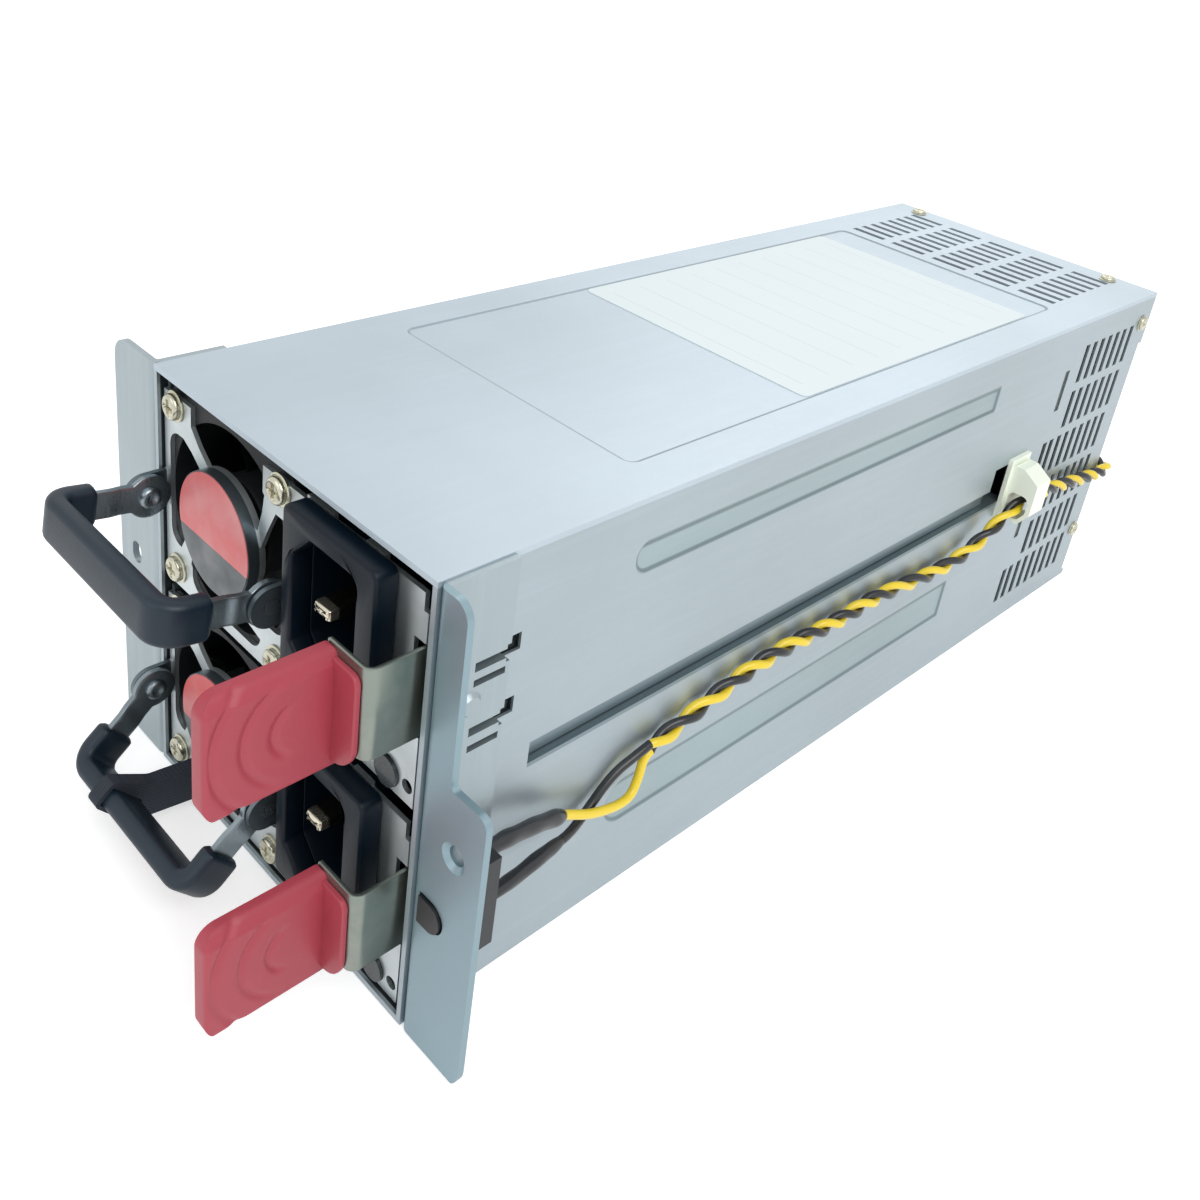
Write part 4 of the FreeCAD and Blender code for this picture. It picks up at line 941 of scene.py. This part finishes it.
@dataclass
class PanHead:
    """Pan head screw with a flange and a cross recess.

    Attributes:
        flange: flange radius.
        head: head radius.
        tall: full height.
    """

    flange: float = 2.8
    head: float = 2.35
    tall: float = 1.5

    def grid(self, centre: Sequence[float], axis: str, seat: float, out: float) -> Array:
        """Head as a dome cut by a cross: where a point lies inside either bar, it sinks.

        Args:
            centre: the two coordinates across the axis.
            axis: the screw's axis.
            seat: height of the surface it sits on.
            out: 1 or -1, the way that the head stands.
        Returns:
            Grid of points, closed by caps.
        """
        turn = np.linspace(0, np.pi / 2, 7)
        thick = self.tall * 0.26
        rim = [(self.flange - 0.15, 0.0), (self.flange, 0.08), (self.flange, thick - 0.08),
               (self.flange - 0.12, thick), (self.head, thick + 0.02)]
        rise = (self.tall - thick) * (0.35 + 0.65 * np.sin(turn))
        side = np.stack([self.head - 0.75 * (1 - np.cos(turn)), thick + rise], -1)
        flat = np.stack([np.linspace(self.head - 0.85, 0.05, 12), np.full(12, self.tall)], -1)
        pts = turned(np.vstack([rim, side, flat]), 56, (0, 0), "z")
        across = np.abs(pts[..., :2])
        arm, thin = self.head * 0.66, self.head * 0.17
        bars = [np.clip((arm - across[..., i]) / 0.18, 0, 1)
                * np.clip((thin - across[..., 1 - i]) / 0.16, 0, 1) for i in (0, 1)]
        height = pts[..., 2] - np.maximum(*bars) * self.tall * 0.5
        return lift(pts[..., :2] + centre, seat + out * height, axis)


@dataclass
class Fastenings:
    """All visible screws.

    Attributes:
        bays: bay names and middles.
        pitch: half the fan's screw pitch.
        top: middles of the top screws, (x, y).
        side: middles of the side screws, (y, z).
    """

    bays: dict[str, float]
    pitch: float = 16.0
    top: tuple[tuple[float, float], ...] = ((-30.0, 224.0), (26.5, 224.0))
    side: tuple[tuple[float, float], ...] = ((223.6, 76.6), (224.0, 15.9))

    def fan_screws(self, finish: Material) -> None:
        """Four screws on each module front."""
        for bay, middle in self.bays.items():
            skin = Skin()
            for x in (-self.pitch, self.pitch):
                for z in (-self.pitch, self.pitch):
                    skin.add(PanHead().grid((FAN_X + x, z), "y", 1.0, -1), middle)
            skin.build(f"{bay}_front_screws", f"{bay}_module", finish, [f"{bay}_fan_screws"])

    def cover_screws(self, finish: Material) -> Piece:
        """Two screws on top and two on each side, near the rear."""
        head, skin = PanHead(2.1, 1.8, 1.0), Skin()
        for centre in self.top:
            skin.add(head.grid(centre, "z", COVER_Z, 1))
        for side in (-1, 1):
            for centre in self.side:
                skin.add(head.grid(centre, "x", side * WALL_X, side))
        return skin.build("panel_screws", "cage", finish, ["cover_screws"])


@dataclass
class PressedBands:
    """The two shallow pressed bands of a side wall, with soft edges.

    Attributes:
        side: 1 for the right wall, -1 for the left.
        deep: depth of the pressing.
        bands: (front, rear, bottom, top) of each band.
        slopes: widths of the upper and of the other slopes.
    """

    side: int
    deep: float = 0.39
    bands: tuple[tuple[float, ...], ...] = ((39.5, 153.0, 69.5, 76.0),
                                            (42.0, 154.0, 15.5, 25.8))
    slopes: tuple[float, float] = (1.8, 0.9)

    def build(self, finish: Material) -> Piece:
        """Pans in the recesses: from the rim the face sinks along a half cosine wave."""
        skin = Skin()
        for y0, y1, z0, z1 in self.bands:
            half, middle = (z1 - z0) / 2, (z0 + z1) / 2
            ring = even(box((y0, y1), (z0, z1), (half - 0.2, 1.0, 1.0, half - 0.2), 14), 420)

            def face(at: Array) -> Array:
                """Distance from the middle plane, from the distances to the rims."""
                y, z = at[..., 0], at[..., 1]
                round_end = half - np.hypot(np.minimum(y - y0 - half, 0), z - middle)
                near = np.minimum(round_end, y1 - y)
                share = np.minimum(np.minimum(near, z - z0) / self.slopes[1],
                                   (z1 - z) / self.slopes[0])
                sink = (1 - np.cos(np.clip(share, 0, 1) * np.pi)) / 2
                return self.side * (WALL_X - self.deep * sink)

            skin.add(pillow(ring, [(y0 + half, middle), (y1 - half, middle)], "x",
                            self.side * (WALL_X - self.deep - 0.005), face, 26))
        return skin.build("right_pressed_bands" if self.side > 0 else "left_pressed_bands",
                          "cage", finish, (), 60.0, "cage_steel")


@dataclass
class RecessRim:
    """Soft slope round the pressed middle of the top cover.

    Attributes:
        across: sides of the recess.
        along: front and rear of the recess.
        corner: corner radius.
        deep: depth of the recess.
        slope: width of the slope.
    """

    across: tuple[float, float] = (-30.7, 29.5)
    along: tuple[float, float] = (45.0, 188.0)
    corner: float = 2.5
    deep: float = 0.295
    slope: float = 0.9

    def build(self, finish: Material) -> Piece:
        """Closed ring whose face sinks inwards from the rim along a half cosine wave."""
        share = np.linspace(0, 1, 12)
        sink = self.deep * (1 - np.cos(share * np.pi)) / 2
        floor = COVER_Z - self.deep - 0.004
        height = np.concatenate([[floor], COVER_Z - sink, [floor]])
        width = np.concatenate([[0.0], share * self.slope, [self.slope]])
        ring = box(self.across, self.along, self.corner, 8)
        skin = Skin().add(lift(inset(ring, width), height, "z"), loop=True)
        return skin.build("recess_rim", "cage", finish, (), 60.0, "cage_steel")


@dataclass
class Leads:
    """Sleeves, the two leads of the reset switch and their twisted pair.

    Attributes:
        wire: wire radius.
        half_pair: distance of a wire's middle from the middle of the pair.
        turns: places along Y where the black wire lies outermost, one turn apart but for
            the first, which lies three quarters of a turn ahead of the second.
        lay: length of a turn past the last of these places.
    """

    wire: float = 0.84
    half_pair: float = 0.85
    turns: tuple[float, ...] = (49.5, 59.6, 73.0, 85.0, 97.0, 108.6, 120.9, 136.6, 150.8,
                                163.1, 176.2, 189.0, 201.5, 214.0, 224.0)
    lay: float = 12.5

    sleeves_on = (((43.0, 9.6, 35.2), (42.8, 16.5, 35.2), (41.2, 28.0, 30.0)),
                  ((43.0, 9.6, 24.4), (42.6, 17.0, 24.3), (41.0, 28.5, 24.0)))
    pair = ((40.0, 49.5, 31.9), (40.0, 60.0, 34.2), (40, 80, 37.7), (40, 106, 35.8),
            (40, 117, 36.8), (40, 152, 32), (41.6, 168.5, 41.2), (42.4, 177.4, 43.8),
            (40, 221, 34.4), (40, 230.8, 34), (33, 230.8, 34), (33, 221, 34))

    def strands(self, black: Material, yellow: Material) -> None:
        """Two helices: each wire's middle circles the pair's line as the turn count grows."""
        step = 0.4
        line = soft_line(self.pair, step)
        run = np.arange(len(line)) * step
        counts = np.arange(len(self.turns), dtype=float)
        counts[0] = 0.25
        ahead = line[:int(np.argmax(line[:, 1]))]
        spots = np.interp(self.turns, ahead[:, 1], run[:len(ahead)])
        rest = (run - spots[-1]) / self.lay + counts[-1]
        turn = np.where(run < spots[-1], np.interp(run, spots, counts), rest)
        side, up = frames(line)
        for name, extra, finish, nodes in (("black_strand", 0.0, black, ["twisted_pair"]),
                                           ("yellow_strand", 0.5, yellow, [])):
            phase = 2 * np.pi * (turn + extra)
            place = line + self.half_pair * (np.cos(phase)[:, None] * side
                                             - np.sin(phase)[:, None] * up)
            Skin().add(carry(place, circle(self.wire, 12))).build(name, "cage", finish, nodes)

    def leads(self, black: Material, yellow: Material) -> None:
        """The two wires between the sleeves and the start of the pair."""
        start, nxt = np.array(self.pair[:2])
        along = (nxt - start) / np.linalg.norm(nxt - start)
        off = np.array([0.0, -along[2], along[1]]) * self.half_pair
        top, low = start + off, start - off
        upper, lower = self.sleeves_on
        for name, finish, points in (
                ("black_lead", black, [lower[-1], (40.9, 30.2, 23.96), (39.4, 35, 24),
                                       (39.3, 41, 29.8), top - along * 3.2, top]),
                ("yellow_lead", yellow, [upper[-1], (41.2, 29.2, 29.4), (41.6, 35.2, 26.2),
                                         (41.2, 44.4, 23.5), (40.4, 47.2, 26.8),
                                         low - along * 1.6, low])):
            line = soft_line(points, 0.4)
            skin = Skin().add(carry(line, circle(self.wire, 14), (1, 0, 0)))
            skin.build(f"{name}_run", "cage", finish, [name])

    def sleeves(self, finish: Material) -> Piece:
        """Shrunk sleeves: the radius ripples along and round, and draws in at the far end."""
        skin = Skin()
        rng = np.random.default_rng(7)
        angle = np.linspace(0, 2 * np.pi, 26, endpoint=False)[None]
        for points, radius in zip(self.sleeves_on, (1.4, 1.25)):
            line = soft_line(points, 0.3)
            share = np.linspace(0, 1, len(line))[:, None]
            a, b, c = rng.uniform(0, 6.3, 3)
            ripple = (0.035 * np.sin(9 * share * 2 * np.pi / 3 + a)
                      + 0.030 * np.sin(2 * angle + 7 * share + b)
                      + 0.022 * np.sin(3 * angle - 15 * share + c))
            neck = 0.10 * np.exp(-((share - 0.12) / 0.07) ** 2)
            end = 0.34 * np.clip((share - 0.86) / 0.14, 0, 1) ** 1.6
            size = radius * (0.965 + ripple - neck - end - 0.03 * (share > 0.995))
            ring = size[..., None] * circle(1.0, 26)[None]
            skin.add(carry(line, ring, (1, 0, 0)))
        return skin.build("shrunk_sleeves", "cage", finish, ["lead_sleeves"], 60.0)


@dataclass
class Inlet(BayPart):
    """Upright mains inlet: bezel, socket and three blades.

    Attributes:
        bezel: sides, then bottom and top of the bezel.
        socket: the same of the socket.
        cut: size of the socket's two cut corners.
        tips: middle (x, z) and front end of each blade.
    """

    bezel: tuple[tuple[float, float], ...] = ((6.0, 29.0), (-12.2, 18.8))
    socket: tuple[tuple[float, float], ...] = ((8.5, 24.5), (-8.9, 15.5))
    cut: float = 4.5
    tips: tuple[tuple[float, ...], ...] = ((14.0, 3.3, -1.2), (18.0, -3.7, 4.0),
                                           (18.0, 10.3, 4.0))

    def housing(self, finish: Material) -> Piece:
        """Bezel and socket walls as rings between two outlines, with a closed back."""
        (x0, x1), (z0, z1) = self.bezel
        (s0, s1), (low, high) = self.socket
        cut = self.cut
        outer = even(box(*self.bezel, 1.5, 7), 220)
        inner = even(outline([(s0, low + cut, 0.5), (s0 + cut, low, 0.5), (s1, low, 2.0),
                              (s1, high, 2.0), (s0 + cut, high, 0.5), (s0, high - cut, 0.5)],
                             7), 220)
        inner = np.roll(inner, 8, 0)
        wide = inset(inner, np.array([-1.3]))[0]
        body = box((x0 + 1.2, x1 - 1.2), (z0 + 1.2, z1 - 2.0), 0.8, 5)
        skin = Skin()
        skin.add(collar(outer, inner, -3.0, 1.0, 0.55), self.middle, True)
        skin.add(collar(wide, inner, 0.9, 12.2, 0.1), self.middle, True)
        skin.add(slab(body, "y", 12.1, 22.0, 0.4), self.middle)
        return self.piece(skin, "inlet_body", "module", finish, "inlet_housing")

    def blades(self, finish: Material) -> Piece:
        """Three flat blades with rounded tips."""
        skin = Skin()
        for x, z, tip in self.tips:
            ring = box((x - 2, x + 2), (z - 1, z + 1), 0.3, 4)
            skin.add(slab(ring, "y", tip, 26.0, 0.7), self.middle)
        return self.piece(skin, "contact_blades", "module", finish, "inlet_blades")


@dataclass
class FanRotor(BayPart):
    """Hub cup with curved blades.

    Attributes:
        hub: hub radius.
        tip: tip radius.
        blades: number of blades.
        front: front of the cup.
        back: rear of the cup.
    """

    hub: float = 8.9
    tip: float = 17.55
    blades: int = 7
    front: float = 3.4
    back: float = 27.0

    def build(self, finish: Material) -> Piece:
        """Cup and blades: a blade's lines wind about the axis and lean back to the tip.

        A blade point at span s and chord c stands at angle a0 + 42c + 16s^1.5 degrees, at
        radius hub + (tip - hub)s and at depth 6 + 13c, and its two faces lie half a
        thickness apart, the thickness falling to the edges with sqrt(1 - (2c - 1)^4).
        """
        hub, front, back = self.hub, self.front, self.back
        cup = np.array([(0.2, front), (hub - 1.0, front), (hub - 0.3, front + 0.3),
                        (hub, front + 1.0), (hub, back - 0.3), (hub - 0.3, back),
                        (1.5, back), (1.5, back + 2.5), (0.2, back + 2.5)])
        skin = Skin().add(turned(cup, 48, (FAN_X, 0.0), "y"), self.middle)
        span = np.linspace(-0.06, 1, 12)[:, None]
        chord = np.linspace(0, 1, 22)[None]
        around = np.concatenate([chord, chord[:, ::-1]], 1)
        side = np.repeat([[1.0, -1.0]], chord.size, 1)
        edge = np.sqrt(np.maximum(1 - (2 * around - 1) ** 4, 0))
        thick = 0.55 * side * edge * (1 - 0.35 * span)
        radius = hub + (self.tip - hub) * span + 0 * around
        depth = 6.0 + 13.0 * around + thick * 0.84
        for k in range(self.blades):
            degrees = 360 / self.blades * k + 42 * around + 16 * np.abs(span) ** 1.5
            angle = np.radians(degrees) - thick * 0.55 / radius
            skin.add(np.stack([FAN_X + radius * np.cos(angle), depth,
                               radius * np.sin(angle)], -1), self.middle)
        return self.piece(skin, "impeller", "fan", finish, "fan_rotor")


class Wardrobe:
    """Every finish of the model, and the solids that wear it."""

    WORN_BY = {
        "cage_steel": "base_plate left_wall right_wall", "cage_top": "top_cover",
        "cage_back": "rear_panel", "case_steel": "mid_shelf case case_cover",
        "bracket_steel": "left_bracket right_bracket bracket_rivets",
        "screw_plate": "cover_screws fan_screws", "front_nickel": "front_plate",
        "arm_steel": "handle_arms handle_rivets", "nickel_plate": "latch_spring",
        "blade_metal": "inlet_blades", "sink_aluminium": "heatsinks",
        "fan_plastic": "bay_connectors fan_frame fan_rotor", "inlet_plastic": "inlet_housing",
        "grip_nylon": "handle_grip", "latch_red": "latch_grip", "clip_nylon": "cable_clip",
        "grommet_rubber": "cable_grommets", "switch_plastic": "reset_switch reset_button",
        "heat_shrink": "lead_sleeves", "yellow_insulation": "yellow_lead",
        "black_insulation": "black_lead twisted_pair", "led_plastic": "led_lens",
        "component_case": "board_parts", "label_paper": "rating_label",
        "board_laminate": "main_board", "dark_laminate": "backplane_board",
        "strap_fabric": "cord_strap",
    }
    STICKER_LINE = -2.4

    def __init__(self, middles: dict[str, float]) -> None:
        # pale is lighter than the walls' cage_steel: painted light for the top cover's brighter
        # light, on cage_top and rim_steel.
        pale = srgb(187, 200, 209)
        recipes = [
            # The last number of cage_steel, cage_top and cage_back is painted shade on the faces
            # inside the cage.
            RolledSteel("cage_steel", srgb(170, 182, 188), Run.Y, 0.42, 0.75, 0.35, 0.90, 0.9),
            RolledSteel("cage_top", pale, Run.Y, 0.44, 0.5, 0.18, 0.90, 0.9),
            # rim_steel: press paints shade on the slope of the top cover's recess rim.
            RolledSteel("rim_steel", pale, Run.Y, 0.44, 0.5, 0.18,
                        press_shade=("Z", COVER_Z * MM, RecessRim.deep * MM)),
            RolledSteel("cage_back", srgb(184, 198, 206), Run.Z, 0.38, 0.6, 0.25, 0.90, 0.9),
            # band_steel is darker than the walls' cage_steel as painted shade in the pressed
            # bands' recesses; press adds painted shade on their slopes.
            RolledSteel("band_steel", srgb(161, 177, 181), Run.Y, 0.42, 0.72, 0.35,
                        press_shade=("X", WALL_X * MM, PressedBands.deep * MM)),
            # case_steel is darker than the cage's sheet as painted shade, so the module case
            # reads dark through the wall's slots.
            RolledSteel("case_steel", srgb(126, 142, 148), Run.Y, 0.34, 0.7, 0.3),
            # bracket_steel: shade is painted shade on the right flange's front face.
            RolledSteel("bracket_steel", srgb(166, 179, 184), Run.Z, 0.38, 0.7, 0.4,
                        shade=srgb(138, 161, 170)),
            Plated("nickel_plate", srgb(136, 144, 136), 0.26),
            # front_nickel: the ears colour is painted shade on the front plate's ears.
            Plated("front_nickel", srgb(202, 210, 212), 0.34, (0.36, 0.40, 0.41), 0.10, Run.Z,
                   srgb(104, 116, 122)),
            Plated("screw_plate", srgb(200, 198, 178), 0.22, (0.34, 0.33, 0.24), 0.05),
            Plated("arm_steel", srgb(138, 150, 156), 0.24, (0.12, 0.15, 0.16), 0.12),
            # blade_metal: the dark main colour is painted shade inside the socket; only the tips
            # ahead of the front plate take the bright metal colour.
            Plated("blade_metal", srgb(74, 74, 68), 0.2, (0.04, 0.04, 0.035), 0.06, Run.Y,
                   srgb(214, 208, 188)),
            Plated("sink_aluminium", srgb(200, 203, 206), 0.3),
            Moulded("grip_nylon", srgb(14, 32, 45), 0.42, 0.00004, 2200.0, 0.0, 1.3, 0.4),
            Moulded("inlet_plastic", srgb(4, 17, 28), 0.38, 0.000012, 3200.0, 0.0, 1.3, 0.2),
            Moulded("fan_plastic", srgb(16, 19, 22), 0.5, 0.00003, 2600.0, 0.0, 1.25, 0.3),
            Moulded("latch_red", srgb(162, 60, 73), 0.42, 0.00003, 2600.0, 0.0, 1.12, 0.4),
            Moulded("clip_nylon", srgb(236, 242, 228), 0.36, 0.00001, 2000.0, 0.1, 1.05),
            Moulded("grommet_rubber", srgb(26, 26, 27), 0.62, 0.00002),
            Moulded("switch_plastic", srgb(20, 22, 26), 0.42, 0.00002),
            Moulded("heat_shrink", srgb(24, 27, 32), 0.36, 0.00002, 900.0, 0.2, 1.4),
            Moulded("yellow_insulation", srgb(232, 203, 42), 0.3, 0.000008, 2400.0, 0.2, 1.08),
            Moulded("black_insulation", srgb(22, 24, 28), 0.3, 0.000008, 2400.0, 0.15, 1.3),
            Moulded("led_plastic", srgb(36, 44, 48), 0.26, 0.000004, 1800.0, 0.2, 1.1, 0.4),
            Moulded("component_case", srgb(34, 36, 44), 0.35),
            LabelPaper("label_paper", srgb(216, 227, 230), srgb(168, 178, 182)),
            Laminate("board_laminate", srgb(28, 92, 58), srgb(44, 118, 76)),
            # dark_laminate darkens the backplane board as painted shade, for the cage's inside
            # seen through the vents.
            Laminate("dark_laminate", srgb(14, 32, 26), srgb(20, 42, 34)),
            Woven("strap_fabric", srgb(25, 33, 43)),
        ]
        recipes += [SplitSticker(f"{bay}_fan_sticker", srgb(214, 94, 96), srgb(50, 63, 70),
                                 (middle + self.STICKER_LINE) * MM)
                    for bay, middle in middles.items()]
        self.made = {recipe.name: recipe.make() for recipe in recipes}
        self.worn = {node: self.made[name] for name, nodes in self.WORN_BY.items()
                     for node in nodes.split()}

    def __getitem__(self, name: str) -> Material:
        """The material of a name."""
        return self.made[name]

    def dress(self, node: str, obj: Piece) -> None:
        """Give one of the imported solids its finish.

        Args:
            node: the solid's name.
            obj: its object.
        """
        bay, _, rest = node.partition("_")
        plain = rest if bay in ("upper", "lower") else node
        finish = self[f"{bay}_fan_sticker"] if plain == "hub_label" else self.worn[plain]
        obj.data.materials.clear()
        obj.data.materials.append(finish)


@dataclass
class Studio:
    """Floor, lamps, world and camera.

    Attributes:
        azimuth: the camera's direction about the object in degrees, from the front.
        elevation: the camera's height angle.
        roll: turn of the picture.
        place: the camera's place in metres.
        sensor: sensor width in millimetres.
        lens: focal length in millimetres.
        shift: vertical shift of the picture.
    """

    azimuth: float = 41.8435833
    elevation: float = 25.4242108
    roll: float = 8.1693847
    place: tuple[float, float, float] = (0.141558, -0.203551, 0.177680)
    sensor: float = 36.0
    lens: float = 37.789
    shift: float = -0.16667

    def hang(self, name: str, data: bpy.types.ID) -> Piece:
        """Make an object and put it in the scene."""
        obj = bpy.data.objects.new(name, data)
        bpy.context.scene.collection.objects.link(obj)
        return obj

    def camera(self) -> None:
        """Camera whose axes are the picture's right, up and backward directions."""
        a, e, r = (math.radians(v) for v in (self.azimuth, self.elevation, self.roll))
        back = Vector((math.sin(a) * math.cos(e), -math.cos(a) * math.cos(e), math.sin(e)))
        level = Vector((math.cos(a), math.sin(a), 0.0))
        rise = back.cross(level)
        right = level * math.cos(r) + rise * math.sin(r)
        up = rise * math.cos(r) - level * math.sin(r)
        data = bpy.data.cameras.new("view")
        data.sensor_width, data.lens, data.shift_y = self.sensor, self.lens, self.shift
        data.clip_start = 0.01
        obj = self.hang("view", data)
        turn = Matrix((right, up, back)).transposed().to_4x4()
        obj.matrix_world = Matrix.Translation(self.place) @ turn
        bpy.context.scene.camera = obj

    def lamp(self, name: str, place: Sequence[float], aim: Sequence[float], size: float,
             power: float) -> None:
        """Square soft lamp that looks at a point."""
        data = bpy.data.lights.new(name, "AREA")
        data.size, data.energy = size, power
        obj = self.hang(name, data)
        obj.location = place
        way = Vector(aim) - Vector(place)
        obj.rotation_euler = way.to_track_quat("-Z", "Y").to_euler()

    def world(self, fill: float) -> None:
        """White surroundings: full strength in sight and in mirrors, a softer fill elsewhere."""
        world = bpy.data.worlds.new("surround")
        world.use_nodes = True
        bpy.context.scene.world = world
        nodes, links = world.node_tree.nodes, world.node_tree.links
        ground = nodes["Background"]
        path = nodes.new("ShaderNodeLightPath")
        seen = path.outputs["Is Camera Ray"]
        for extra in ("Is Glossy Ray", "Is Transmission Ray"):
            either = nodes.new("ShaderNodeMath")
            either.operation = "MAXIMUM"
            links.new(seen, either.inputs[0])
            links.new(path.outputs[extra], either.inputs[1])
            seen = either.outputs[0]
        level = nodes.new("ShaderNodeMapRange")
        level.inputs["To Min"].default_value = fill
        links.new(seen, level.inputs["Value"])
        links.new(level.outputs["Result"], ground.inputs["Strength"])
        ground.inputs["Color"].default_value = (1.0, 1.0, 1.0, 1.0)

    def floor(self, half: float = 3.0, z: float = -0.0003) -> None:
        """Plain pale floor just under the object."""
        mesh = bpy.data.meshes.new("floor")
        mesh.from_pydata([(-half, -half, z), (half, -half, z), (half, half, z),
                          (-half, half, z)], [], [(0, 1, 2, 3)])
        shader = Shader("floor_paint")
        seen = shader.add("ShaderNodeLightPath", {}, {}, "Is Camera Ray")
        shader.set(Base_Color=(0.90, 0.90, 0.90), Roughness=0.85,
                   Emission_Color=shader.mix(seen, (0.62, 0.62, 0.62), (1.0, 1.0, 1.0)),
                   Emission_Strength=0.46)
        mesh.materials.append(shader.material)
        self.hang("floor", mesh)

    def build(self) -> None:
        """Set up the whole studio."""
        bpy.context.scene.view_settings.view_transform = "Standard"
        self.floor()
        self.world(0.62)
        self.lamp("key", (0.75, -0.25, 0.95), (0, 0, 0.04), 0.8, 7.0)
        self.lamp("front", (-0.15, -0.95, 0.55), (0, 0, 0.04), 0.7, 1.4)
        self.lamp("back", (-0.4, 0.8, 0.8), (0, 0, 0.05), 0.6, 2.0)
        self.camera()


def main() -> None:
    """Dress the solids, build the finer pieces and set up the studio."""
    logging.basicConfig(level=logging.INFO)
    middles = {"upper": 62.2, "lower": 21.3}
    rests = {"upper": 8.0, "lower": -42.0}
    wear = Wardrobe(middles)
    for node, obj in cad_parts.items():
        wear.dress(node, obj)
    for bay, middle in middles.items():
        handle = Handle(bay, middle, rests[bay])
        handle.grip(wear["grip_nylon"])
        handle.straps(wear["arm_steel"])
        handle.pins(wear["arm_steel"])
        latch = Latch(bay, middle)
        latch.leaf(wear["nickel_plate"])
        latch.grip(wear["latch_red"])
        inlet = Inlet(bay, middle)
        inlet.housing(wear["inlet_plastic"])
        inlet.blades(wear["blade_metal"])
        FanRotor(bay, middle).build(wear["fan_plastic"])
    for side in (-1, 1):
        PressedBands(side).build(wear["band_steel"])
    RecessRim().build(wear["rim_steel"])
    screws = Fastenings(middles)
    screws.fan_screws(wear["screw_plate"])
    screws.cover_screws(wear["screw_plate"])
    leads = Leads()
    leads.strands(wear["black_insulation"], wear["yellow_insulation"])
    leads.leads(wear["black_insulation"], wear["yellow_insulation"])
    leads.sleeves(wear["heat_shrink"])
    Studio().build()


if __name__ == "__main__":
    main()
